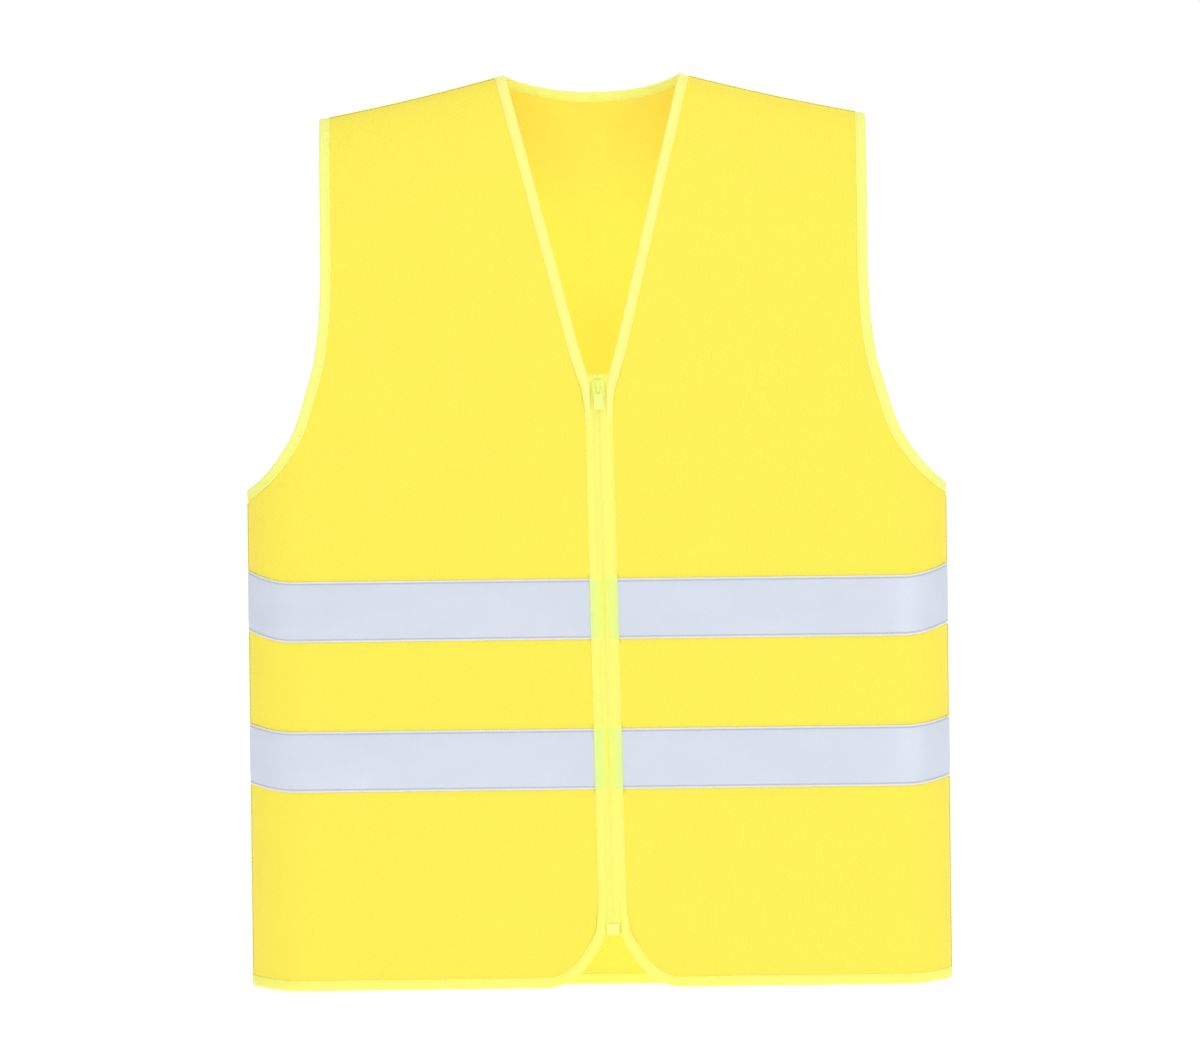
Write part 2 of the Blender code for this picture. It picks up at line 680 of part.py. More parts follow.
# ---------------------------------------------------------------- reflective bands
def reflective_bands(level, z_low):
    edges = (z_low, z_low + BAND_W)
    half = TURN_COLUMNS + [SEAM_AROUND - 2 * SEAM]
    across = [-a for a in reversed(half)] + [-0.08, 0.08] + half
    band(f"band_{level}_back", BACK, [(a, a) for a in across], z_low)
    for side, sign in SIDES:
        past_fold = tuple(sign * (fold_x(z) + BAND_FOLD_GAP) for z in edges)
        columns = [past_fold] + [(sign * a, sign * a) for a in half]
        band(f"band_{level}_side_{side}", FRONT, columns, z_low)
        near = tuple(sign * (sign * zip_x(z) + TAPE_IN + BAND_TAPE_GAP) for z in edges)
        far = tuple(sign * (fold_x(z) - BAND_FOLD_GAP) for z in edges)
        band(f"band_{level}_fold_{side}", FRONT, [near, far], z_low, hinge[side])


# ---------------------------------------------------------------- solid pieces
def zip_point(z, out=0.0):
    return (zip_x(z), FRONT_Y - out, z)


def place(obj, mat, z, parent, out=0.0):
    """Puts a piece modelled about the zip line at height z; its -Y faces forward."""
    obj.data.materials.append(mat)
    obj.location = zip_point(z, out)
    obj.rotation_euler = (0, ZIP_ANGLE, 0)
    attach(obj, parent)


def claim(name, collection=parts):
    """Names the object just added and moves it to the collection."""
    obj = bpy.context.object
    obj.name = name
    obj.data.name = name
    for linked in list(obj.users_collection):
        linked.objects.unlink(obj)
    collection.objects.link(obj)
    return obj


def block(name, x_span, out_span, z_span, collection=parts):
    """Box about the local origin, from (low, high) spans."""
    bpy.ops.mesh.primitive_cube_add(size=1)
    obj = claim(name, collection)
    (x_low, x_high), (out_low, out_high), (z_low, z_high) = x_span, out_span, z_span
    for vert in obj.data.vertices:
        vert.co = Vector(((x_low + x_high) / 2 + vert.co.x * (x_high - x_low),
                          -(out_low + out_high) / 2 + vert.co.y * (out_high - out_low),
                          (z_low + z_high) / 2 + vert.co.z * (z_high - z_low)))
    return obj


def mirrored(span, sign):
    return sorted(sign * x for x in span)


def outline(name, loops, half_thickness, rotation=(0, 0, 0), out=0.0, collection=parts):
    """Plate with its outline in local XY, then turned, moved out and made a welded mesh."""
    curve = bpy.data.curves.new(name, "CURVE")
    curve.dimensions = "2D"
    curve.fill_mode = "BOTH"
    curve.extrude = half_thickness
    for loop in loops:
        spline = curve.splines.new("POLY")
        spline.points.add(len(loop) - 1)
        for point, (x, y) in zip(spline.points, loop):
            point.co = (x, y, 0, 1)
        spline.use_cyclic_u = True
    drawn = bpy.data.objects.new(name, curve)
    collection.objects.link(drawn)
    drawn.rotation_euler = rotation
    drawn.location = (0, -out, 0)
    bpy.context.view_layer.update()
    evaluated = drawn.evaluated_get(bpy.context.evaluated_depsgraph_get())
    mesh = bpy.data.meshes.new_from_object(evaluated)
    mesh.transform(drawn.matrix_world)
    bm = bmesh.new()
    bm.from_mesh(mesh)
    bmesh.ops.remove_doubles(bm, verts=bm.verts, dist=1e-6)
    bmesh.ops.recalc_face_normals(bm, faces=bm.faces)
    bm.to_mesh(mesh)
    bm.free()
    bpy.data.objects.remove(drawn, do_unlink=True)
    obj = bpy.data.objects.new(name, mesh)
    collection.objects.link(obj)
    return obj


def upright(name, loops, half_thickness, out=0.0, collection=parts):
    """Plate standing in the XZ plane, the middle of its thickness at out."""
    return outline(name, loops, half_thickness, (math.pi / 2, 0, 0), out, collection)


def boolean(obj, other, operation):
    mod = obj.modifiers.new(operation.lower(), "BOOLEAN")
    mod.operation = operation
    mod.solver = "EXACT"
    mod.object = other
    other.parent = obj
    other.hide_render = True
    other.display_type = "WIRE"


def bevel(obj, width, segments=1):
    mod = obj.modifiers.new("edges", "BEVEL")
    mod.width = width
    mod.segments = segments
    mod.limit_method = "ANGLE"


# ---------------------------------------------------------------- zip pieces
def zip_tape(side, sign):
    half = (TAPE_TOP - TAPE_FOOT) / 2
    tape = block(f"zip_tape_{side}", mirrored((TAPE_IN, TAPE_OUT), sign),
                 (TAPE_OFF - TAPE_HALF_THICK, TAPE_OFF + TAPE_HALF_THICK), (-half, half))
    place(tape, tape_mat, (TAPE_TOP + TAPE_FOOT) / 2, hinge[side])


def zip_coil(side, sign):
    """A bead with the woven edge of the tape."""
    foot = COIL_FOOT[side]
    section = [(sign * x, -out) for x, out in COIL_SECTION]
    coil = outline(f"zip_coil_{side}", [section], (COIL_TOP - foot) / 2)
    place(coil, coil_mat, (COIL_TOP + foot) / 2, hinge[side])


def top_stop(side, sign):
    stop = block(f"top_stop_{side}", mirrored(STOP_X, sign), STOP_OUT, STOP_SPAN)
    bevel(stop, width=0.0004)
    place(stop, stop_mat, STOP_Z, hinge[side])


def retainer_box():
    """Box on the right tape; its left half is open behind a lip, with the pin inside."""
    box = block("retainer_box", BOX_X, BOX_OUT, BOX_SPAN)
    bevel(box, width=0.0007, segments=2)
    place(box, box_mat, BOX_Z, hinge["right"])
    pocket = block("retainer_pocket", POCKET_X, POCKET_OUT, POCKET_SPAN, cutters)
    boolean(box, pocket, "DIFFERENCE")


def insertion_pin():
    bpy.ops.mesh.primitive_cylinder_add(vertices=16, radius=PIN_RADIUS, depth=PIN_LENGTH)
    pin = claim("insertion_pin")
    for vert in pin.data.vertices:
        vert.co += Vector((PIN_X, -PIN_OUT, 0))
    place(pin, stop_mat, PIN_Z, hinge["left"])


def slider_plate(name, out_span, collection):
    low, high = out_span
    return upright(name, [PLATE], (high - low) / 2, (low + high) / 2, collection)


def slider(frame):
    """Two plates joined by a post, flanges on the back plate, a bail in front."""
    body = slider_plate("zip_slider", FRONT_PLATE, parts)
    pieces = [
        slider_plate("slider_back_plate", BACK_PLATE, cutters),
        block("slider_post", POST_X, POST_OUT, POST_SPAN, cutters),
    ]
    for side, sign in SIDES:
        pieces.append(block(f"slider_flange_{side}", mirrored(FLANGE_X, sign),
                            FLANGE_OUT, FLANGE_SPAN, cutters))
    pieces.append(outline("slider_bail", [[(-out, z) for z, out in BAIL]], BAIL_HALF_WIDTH,
                          rotation=(math.pi / 2, 0, math.pi / 2), collection=cutters))
    for piece in pieces:
        boolean(body, piece, "UNION")
    place(body, slider_mat, SLIDER_Z, frame)


def pull_tab(slider_frame):
    """Flat plate with an eye for the bail; it swings on the bar above the eye."""
    frame = empty("pull_swing", zip_point(TAB_Z, TAB_OUT), (0, ZIP_ANGLE, 0), slider_frame)
    pull = upright("pull_tab", [TAB, TAB_EYE], TAB_HALF_THICK)
    place(pull, pull_mat, TAB_Z, frame, TAB_OUT)


# ---------------------------------------------------------------- build
# empties on the fold lines carry the folding parts of the fronts
hinge = {}
for side, sign in SIDES:
    hinge[side] = empty(f"{side}_front_fold", (sign * FOLD_HEM[0], FRONT_Y - FOLD_OFF, 0.0),
                        (0, -sign * math.atan(FOLD_SLOPE), 0))

back_panel()
neck_binding()
hem_binding_back()
for side, sign in SIDES:
    for build in (front_side, front_fold, armhole_binding, v_binding, hem_binding_front,
                  zip_tape, zip_coil, top_stop):
        build(side, sign)
for level, z_low in BANDS:
    reflective_bands(level, z_low)

retainer_box()
insertion_pin()
slider_travel = empty("slider_travel", zip_point(SLIDER_Z), (0, ZIP_ANGLE, 0), hinge["right"])
slider(slider_travel)
pull_tab(slider_travel)

for obj in parts.objects:
    if obj.type == "MESH" and not obj.name.startswith(("front_", "back_")):
        obj.data.shade_smooth()
        obj.data.set_sharp_from_angle(angle=math.radians(35))
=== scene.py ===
"""High visibility vest: mesh-knit panels, folded bindings, reflective bands, zip and stitching.

Every soft piece is laid on the surface of the CAD solids, with a soft drape of a millimetre or two,
and is closed and thick. The hard zip parts are the CAD nodes themselves with finished materials.
Metres, +Z up, the front faces -Y, left is the wearer's left (+X).

Places on the cloth are pairs (around, below): the distance round the body from the middle plane
x = 0, and the distance down the cloth from the shoulder line.
"""
import math

import bmesh
import bpy
import numpy as np
from mathutils import Matrix, Vector

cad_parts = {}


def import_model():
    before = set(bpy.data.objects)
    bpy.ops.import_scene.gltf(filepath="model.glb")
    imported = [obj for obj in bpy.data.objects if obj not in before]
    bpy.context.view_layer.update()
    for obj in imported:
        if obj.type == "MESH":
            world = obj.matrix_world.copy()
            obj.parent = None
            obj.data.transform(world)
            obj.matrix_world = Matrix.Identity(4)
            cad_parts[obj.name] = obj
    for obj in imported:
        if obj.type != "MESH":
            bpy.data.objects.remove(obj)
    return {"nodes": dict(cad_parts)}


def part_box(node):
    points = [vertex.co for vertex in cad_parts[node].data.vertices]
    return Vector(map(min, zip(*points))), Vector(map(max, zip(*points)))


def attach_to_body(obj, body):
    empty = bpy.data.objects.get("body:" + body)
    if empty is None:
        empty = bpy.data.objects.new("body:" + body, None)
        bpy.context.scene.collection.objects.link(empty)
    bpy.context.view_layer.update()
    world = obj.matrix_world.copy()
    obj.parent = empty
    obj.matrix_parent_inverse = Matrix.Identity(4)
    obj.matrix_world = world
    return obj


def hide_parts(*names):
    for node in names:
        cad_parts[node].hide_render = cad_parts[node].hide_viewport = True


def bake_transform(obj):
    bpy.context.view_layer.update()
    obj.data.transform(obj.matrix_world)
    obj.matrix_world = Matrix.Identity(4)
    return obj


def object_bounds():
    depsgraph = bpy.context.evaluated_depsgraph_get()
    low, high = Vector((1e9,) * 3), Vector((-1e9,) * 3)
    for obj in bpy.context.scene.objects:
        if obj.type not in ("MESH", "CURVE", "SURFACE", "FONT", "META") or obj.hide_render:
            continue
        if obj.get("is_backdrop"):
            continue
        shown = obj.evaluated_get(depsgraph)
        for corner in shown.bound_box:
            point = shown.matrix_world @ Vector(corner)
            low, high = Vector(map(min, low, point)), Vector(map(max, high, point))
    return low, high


CAD_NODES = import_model()["nodes"]
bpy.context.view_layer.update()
FRONT, BACK = -1, 1                     # facing: the sign of y
SIDES = (("left", 1), ("right", -1))    # name and sign of x

# ---------------------------------------------------------------- dimensions shared with the CAD
CLOTH = 0.0005              # thickness of the knit
HALF_WIDTH = 0.2890
HALF_DEPTH = 0.0450         # middle plane to the front or back face
SIDE_ROUND = 0.0550         # width of the rounding at each side
SHOULDER_ROUND = 0.1100     # height of the rounding under the shoulder line
FLAT_X = HALF_WIDTH - SIDE_ROUND
MID_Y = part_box("back_panel")[1].y - HALF_DEPTH - CLOTH / 2
FRONT_Y = MID_Y - HALF_DEPTH

NECK_X, NECK_Z = 0.0720, 0.7555             # neck point of the shoulder line
SHOULDER_X, SHOULDER_Z = 0.2263, 0.7205     # its outer end
SHOULDER_SAG = 0.0016
NECK_SLOPE = 0.15                           # rise of the surface from the neck point inward
BACK_NECK_Z = 0.7425                        # neckline at the middle of the back
# finished armhole edge: z, x
ARMHOLE = np.array([
    (0.4145, 0.2890), (0.4180, 0.2845), (0.4275, 0.2740), (0.4440, 0.2610), (0.4600, 0.2512),
    (0.4935, 0.2397), (0.5265, 0.2314), (0.5600, 0.2277), (0.6000, 0.2263), (0.7600, 0.2263)])

V_BOTTOM_Z, V_BOTTOM_W = 0.5050, 0.0095     # foot of the V and its half width there
V_LEAN = (NECK_X - V_BOTTOM_W) / (NECK_Z - V_BOTTOM_Z)
ZIP_X, ZIP_REF_Z, ZIP_LEAN = 0.0021, 0.5, 0.0155    # x at the reference height, x per metre down
# front hem: height of the corner at the zip, where it starts and ends beside the zip, its curve
CORNER_Z, CORNER_START, CORNER_W, CORNER_POWER = 0.0436, 0.0056, 0.0580, 2.5
FOLD_TOP, FOLD_HEM = (0.0380, 0.6400), (0.1900, 0.0000)     # fold line of a front: x, z

BAND_W, BAND_OFF = 0.0500, 0.00085      # width of a reflective band, its distance off the surface
UPPER_BAND_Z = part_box("band_upper_fold_left")[0].z
LOWER_BAND_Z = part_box("band_lower_fold_left")[0].z
# rise of hem and bands at the side seam: height of the line, rise
RISE = np.array([(0.0, 0.0040), (0.19, 0.0080), (0.315, 0.0110), (0.42, 0.0110)])
RISE_REACH = 0.060
TAPE_IN, TAPE_OUT, TAPE_OFF = 0.0053, 0.0116, 0.00165   # band's end, tape's edge, tape off surface

EDGE_INSET = 0.0014         # knit edge inside the finished edge
HEM_INSET = 0.0015
BINDING_INSET = 0.001       # path of a binding inside the finished edge
SEAM_GAP = 0.00015


# ---------------------------------------------------------------- array helpers
def columns(*parts):
    """Stack values, broadcast together, along a new last axis."""
    return np.stack(np.broadcast_arrays(*parts), -1)


def run_length(points):
    """Distance of each point along a polyline."""
    return np.concatenate([[0], np.cumsum(np.linalg.norm(np.diff(points, axis=0), axis=1))])


def resample(points, step):
    """Even points along a polyline of any dimension."""
    length = run_length(points)
    count = max(2, int(round(length[-1] / step)) + 1)
    even = np.linspace(0, length[-1], count)
    return columns(*(np.interp(even, length, column) for column in points.T))


def unit(vectors):
    return vectors / np.maximum(np.linalg.norm(vectors, axis=-1, keepdims=True), 1e-12)


def smooth(share):
    """Soft step from 0 to 1."""
    share = np.clip(share, 0, 1)
    return share * share * (3 - 2 * share)


def bell(distance, width):
    return np.exp(-(distance / width) ** 2)


def waves(u, v, seed, lengths, count=5):
    """Sines in fixed random directions, of wavelengths between two lengths; about -1 to 1."""
    rng = np.random.default_rng(seed)
    total = np.zeros(np.broadcast(u, v).shape)
    for _ in range(count):
        length, turn, phase = (rng.uniform(*lengths), rng.uniform(0, math.pi),
                               rng.uniform(0, 2 * math.pi))
        along = u * math.cos(turn) + v * math.sin(turn)
        total = total + np.sin(2 * math.pi * along / length + phase)
    return total / math.sqrt(count * 1.3)


def curve(knots, values, x):
    """Smooth monotone curve through points."""
    gaps = np.diff(knots)
    slopes = np.diff(values) / gaps
    tangents = np.zeros_like(knots)
    same_way = slopes[:-1] * slopes[1:] > 0
    before, after = 2 * gaps[1:] + gaps[:-1], gaps[1:] + 2 * gaps[:-1]
    with np.errstate(divide="ignore", invalid="ignore"):    # flat stretches have no slope
        mean = (before + after) / (before / slopes[:-1] + after / slopes[1:])
        tangents[1:-1] = np.where(same_way, mean, 0.0)
    tangents[0], tangents[-1] = slopes[0], slopes[-1]
    k = np.clip(np.searchsorted(knots, x) - 1, 0, len(gaps) - 1)
    t = (x - knots[k]) / gaps[k]
    return ((1 + 2 * t) * (1 - t) ** 2 * values[k]
            + t * (1 - t) ** 2 * gaps[k] * tangents[k]
            + t * t * (3 - 2 * t) * values[k + 1]
            + t * t * (t - 1) * gaps[k] * tangents[k + 1])


# ---------------------------------------------------------------- the surface the cloth lies on
def ridge(x):
    """Height of the shoulder line."""
    x = np.abs(x)
    share = (x - NECK_X) / (SHOULDER_X - NECK_X)
    outer = (NECK_Z + (SHOULDER_Z - NECK_Z) * share
             - SHOULDER_SAG * np.sin(np.pi * np.clip(share, 0, 1)))
    return np.where(x < NECK_X, NECK_Z + NECK_SLOPE * (NECK_X - x), outer)


# stations of the two elliptical roundings
TURN = np.linspace(0, math.pi / 2, 2001)
ROUND_X, ROUND_Y = FLAT_X + SIDE_ROUND * np.sin(TURN), HALF_DEPTH * np.cos(TURN)
ROUND_AROUND = FLAT_X + run_length(columns(ROUND_X, ROUND_Y))
SIDE_AROUND = float(ROUND_AROUND[-1])       # the side seam
ROUND_DROP = SHOULDER_ROUND * (1 - np.cos(TURN))
ROUND_BELOW = run_length(columns(ROUND_DROP, HALF_DEPTH * np.sin(TURN)))
FLAT_BELOW = float(ROUND_BELOW[-1])         # where the shoulder rounding ends


def around_of(x):
    x = np.asarray(x, float)
    size = np.abs(x)
    return np.copysign(np.where(size < FLAT_X, size, np.interp(size, ROUND_X, ROUND_AROUND)), x)


def x_of(around):
    around = np.asarray(around, float)
    size = np.abs(around)
    return np.copysign(np.where(size < FLAT_X, size, np.interp(size, ROUND_AROUND, ROUND_X)),
                       around)


def below_of_drop(drop):
    drop = np.asarray(drop, float)
    return np.where(drop < SHOULDER_ROUND, np.interp(drop, ROUND_DROP, ROUND_BELOW),
                    FLAT_BELOW + drop - SHOULDER_ROUND)


def drop_of(below):
    return np.where(below < FLAT_BELOW, np.interp(below, ROUND_BELOW, ROUND_DROP),
                    SHOULDER_ROUND + below - FLAT_BELOW)


def below_of(x, z):
    return below_of_drop(ridge(x) - z)


def surface(facing, around, below):
    """Points of the plain surface."""
    x = x_of(around)
    size = np.abs(around)
    side = np.where(size < FLAT_X, 1.0, np.interp(size, ROUND_AROUND, ROUND_Y) / HALF_DEPTH)
    top = np.where(below >= FLAT_BELOW, 1.0, np.sin(np.interp(below, ROUND_BELOW, TURN)))
    return columns(x, MID_Y + facing * HALF_DEPTH * side * top, ridge(x) - drop_of(below))


def field(points):
    """Zero on the surface, positive outside it."""
    x, y, z = np.moveaxis(points, -1, 0)
    side = np.maximum(0.0, (np.abs(x) - FLAT_X) / SIDE_ROUND)
    top = np.maximum(0.0, 1 - (ridge(x) - z) / SHOULDER_ROUND)
    return ((y - MID_Y) / HALF_DEPTH) ** 2 - (1 - side * side) * (1 - top * top)


def gradient(points):
    step = 2e-5
    shifts = np.eye(3) * step
    return columns(*((field(points + shift) - field(points - shift)) / (2 * step)
                     for shift in shifts))


def normals(points):
    return unit(gradient(points))


def onto(points):
    """Nearby points that lie on the surface."""
    for _ in range(7):
        grad = gradient(points)
        share = field(points) / np.maximum((grad * grad).sum(-1), 1e-9)
        points = points - grad * share[..., None]
    return points


# ---------------------------------------------------------------- edges and lines of the vest
def zip_line(z):
    """x of the leaning zip, as a straight line."""
    return ZIP_X + (ZIP_REF_Z - z) * ZIP_LEAN


def zip_x(z):
    """x of the zip, and above the foot of the V of a line that returns to the middle."""
    z = np.asarray(z, float)
    back = zip_line(V_BOTTOM_Z) * (NECK_Z - z) / (NECK_Z - V_BOTTOM_Z)
    return np.where(z > V_BOTTOM_Z, back, zip_line(z))


FOOT_X = float(zip_x(0.03))     # the zip near the hem


def v_fold(z):
    """Half width of the finished V; at its foot the edge turns down beside the zip."""
    half = V_BOTTOM_W + (z - V_BOTTOM_Z) * V_LEAN
    return np.maximum(half - 0.0010 * smooth((0.527 - z) / 0.020), 0.0063)


def side_rise(around, z):
    """How far a level line at z rises towards the side seam."""
    share = smooth((np.abs(around) - (SIDE_AROUND - RISE_REACH)) / RISE_REACH)
    return np.interp(z, *RISE.T) * share


def hem_z(facing, x, inset=0.0):
    z = side_rise(around_of(x), 0.0) + inset
    if facing == FRONT:
        past = np.maximum(0.0, np.abs(x - FOOT_X) - CORNER_START - inset)
        share = np.maximum(0.0, 1 - past / (CORNER_W - CORNER_START))
        z = z + CORNER_Z * share ** CORNER_POWER
    return z


def neckline_below(x, inset):
    """Back neckline, moved in by inset away from the shoulder line."""
    x = np.abs(x) * NECK_X / (NECK_X + inset)
    z = BACK_NECK_Z + (NECK_Z - BACK_NECK_Z) * (np.minimum(x, NECK_X) / NECK_X) ** 2.2
    below = np.where(x < NECK_X, below_of(x, z), 0.0)
    return below + inset * np.minimum(1.0, below / 0.012)


def armhole_curve(inset):
    """(around, below) from the shoulder line down to the side seam, moved into the cloth."""
    z = np.concatenate([np.linspace(0.7205, 0.4700, 120), np.linspace(0.4690, 0.4145, 160)])
    x = curve(*ARMHOLE.T, z)
    z[0] = float(ridge(SHOULDER_X))
    points = resample(columns(around_of(x), below_of(x, z)), 0.0015)
    along = np.gradient(points, axis=0)
    inward = unit(columns(-along[:, 1], along[:, 0]))
    # into the cloth: towards the middle and down
    inward *= np.sign(-inward[:, :1] + inward[:, 1:] * 0.2 + 1e-9)
    moved = points + inward * inset
    moved[:, 0] = np.minimum(moved[:, 0], SIDE_AROUND)
    moved[:, 1] = np.maximum(moved[:, 1], 0)
    moved[0, 1] = 0.0
    end = moved[-1].copy()
    if end[0] < SIDE_AROUND:        # carry the end on to the side seam
        last = end - moved[-4]
        moved = np.vstack([moved, end + last * (SIDE_AROUND - end[0]) / max(last[0], 1e-6)])
    return moved


def over_band(z, low, reach, soft):
    """1 where z is over the band that starts at low, widened by reach, with soft ends."""
    return smooth((z - (low - reach)) / soft) * smooth((low + BAND_W + reach - z) / soft)


# ---------------------------------------------------------------- drape
# heights: broad folds of front and back, small creases, hem flutes, drag lines, band puckers
FOLD_FRONT, FOLD_BACK, CREASE, FLUTE, DRAG, PUCKER = 0.00085, 0.0011, 0.0003, 0.0011, 0.0008, 0.0002
FOLD_LENGTHS, CREASE_LENGTHS, PUCKER_LENGTHS = (0.12, 0.26), (0.045, 0.080), (0.018, 0.036)


def drape(points):
    """How far the cloth stands off the plain surface."""
    x, y, z = np.moveaxis(points, -1, 0)
    front = y < MID_Y
    off = np.where(front, FOLD_FRONT * waves(x, z, seed=11, lengths=FOLD_LENGTHS),
                   FOLD_BACK * waves(x, z, seed=12, lengths=FOLD_LENGTHS))
    off = off + CREASE * waves(x, z * 0.6, seed=13, lengths=CREASE_LENGTHS, count=6)
    # the hem hangs in shallow flutes 83 mm apart, which fade out 150 mm up
    phase = 1.1 + np.where(front, 0, 1.7)
    off = off + FLUTE * smooth(1 - z / 0.15) * np.sin(2 * math.pi * x / 0.083 + phase)
    # drag lines run from the underarm towards the zip, just below it
    side, up = np.abs(x) - 0.29, z - 0.43
    along, across = side * 0.86 - up * 0.5, side * 0.5 + up * 0.86
    ends = smooth((along + 0.20) / 0.1) * smooth(-along / 0.05)
    off = off + DRAG * bell(across, 0.05) * np.sin(across / 0.0105) * ends
    # puckers beside the band stitching
    puckers = waves(x * 1.6, z * 0.25, seed=14, lengths=PUCKER_LENGTHS)
    around = around_of(x)
    for low in (LOWER_BAND_Z, UPPER_BAND_Z):
        for edge in (low + 0.002, low + BAND_W - 0.002):
            off = off + PUCKER * bell(z - side_rise(around, low) - edge, 0.010) * puckers
    # it lies flat at the side and shoulder lines and beside the zip
    reach = np.hypot(x - zip_x(np.minimum(z, V_BOTTOM_Z)), np.maximum(0, z - V_BOTTOM_Z))
    beside_zip = np.where(front, smooth((reach - 0.013) / 0.035), 1.0)
    return off * smooth(np.abs(y - MID_Y) / 0.030) * beside_zip


def lay(points, off=0.0):
    """Points a distance off the draped cloth, from points on the plain surface; and normals."""
    out = normals(points)
    return points + out * (off + drape(points))[..., None], out


# ---------------------------------------------------------------- mesh helpers
def make_object(name, verts, faces, uv, materials, face_material=None):
    mesh = bpy.data.meshes.new(name)
    mesh.from_pydata(verts.tolist(), [], faces)
    if uv is not None:
        layer = mesh.uv_layers.new(name="cloth")
        loops = np.zeros(len(mesh.loops), np.int32)
        mesh.loops.foreach_get("vertex_index", loops)
        layer.data.foreach_set("uv", uv.astype(np.float32)[loops].ravel())
    for material in materials:
        mesh.materials.append(material)
    if face_material is not None:
        mesh.polygons.foreach_set("material_index", np.asarray(face_material, np.int32))
    mesh.validate()
    bm = bmesh.new()
    bm.from_mesh(mesh)
    bmesh.ops.recalc_face_normals(bm, faces=bm.faces)
    bm.to_mesh(mesh)
    bm.free()
    mesh.shade_smooth()
    obj = bpy.data.objects.new(name, mesh)
    bpy.context.scene.collection.objects.link(obj)
    return obj


def grid_faces(rows, cols, loop_rows=False, loop_cols=False):
    j, i = np.meshgrid(np.arange(rows - 1 + loop_rows), np.arange(cols - 1 + loop_cols),
                       indexing="ij")
    j2, i2 = (j + 1) % rows, (i + 1) % cols
    quads = columns(j * cols + i, j * cols + i2, j2 * cols + i2, j2 * cols + i)
    return quads.reshape(-1, 4)


def shell(name, mid, out, thickness, uv, material):
    """Closed sheet: a grid of points thickened evenly to both sides."""
    rows, cols = mid.shape[:2]
    count = rows * cols
    half = out * (thickness / 2)
    verts = np.concatenate([(mid + half).reshape(-1, 3), (mid - half).reshape(-1, 3)])
    grid = grid_faces(rows, cols)
    rim = np.concatenate([np.arange(cols), np.arange(2 * cols - 1, count, cols),
                          np.arange(count - 2, count - cols - 1, -1),
                          np.arange(count - 2 * cols, 0, -cols)])
    following = np.roll(rim, -1)
    wall = columns(rim, rim + count, following + count, following)
    faces = np.concatenate([grid, grid[:, ::-1] + count, wall]).tolist()
    return make_object(name, verts, faces, np.concatenate([uv.reshape(-1, 2)] * 2), [material])


def tube(name, rings, uv, material, loop=False):
    """Closed skin through U-shaped rings (path, round the profile); capped unless it loops."""
    count, sides = rings.shape[:2]
    quads = grid_faces(count, sides, loop, True).tolist()
    if not loop:
        for base in (0, (count - 1) * sides):   # a strip between the two contours of the U
            for k in range(sides // 2 - 1):
                quads.append([base + k, base + k + 1, base + sides - 2 - k, base + sides - 1 - k])
    return make_object(name, rings.reshape(-1, 3), quads, uv.reshape(-1, 2), [material])


WIRE_SIDES = 6


def wire_rings(centre, radius, across, up):
    """Round sections of a wire; the last two axes are round the section and x, y, z."""
    angle = (np.arange(WIRE_SIDES) / WIRE_SIDES * 2 * math.pi)[:, None]
    spoke = np.cos(angle) * across[..., None, :] + np.sin(angle) * up[..., None, :]
    return centre[..., None, :] + spoke * radius[..., None, None]


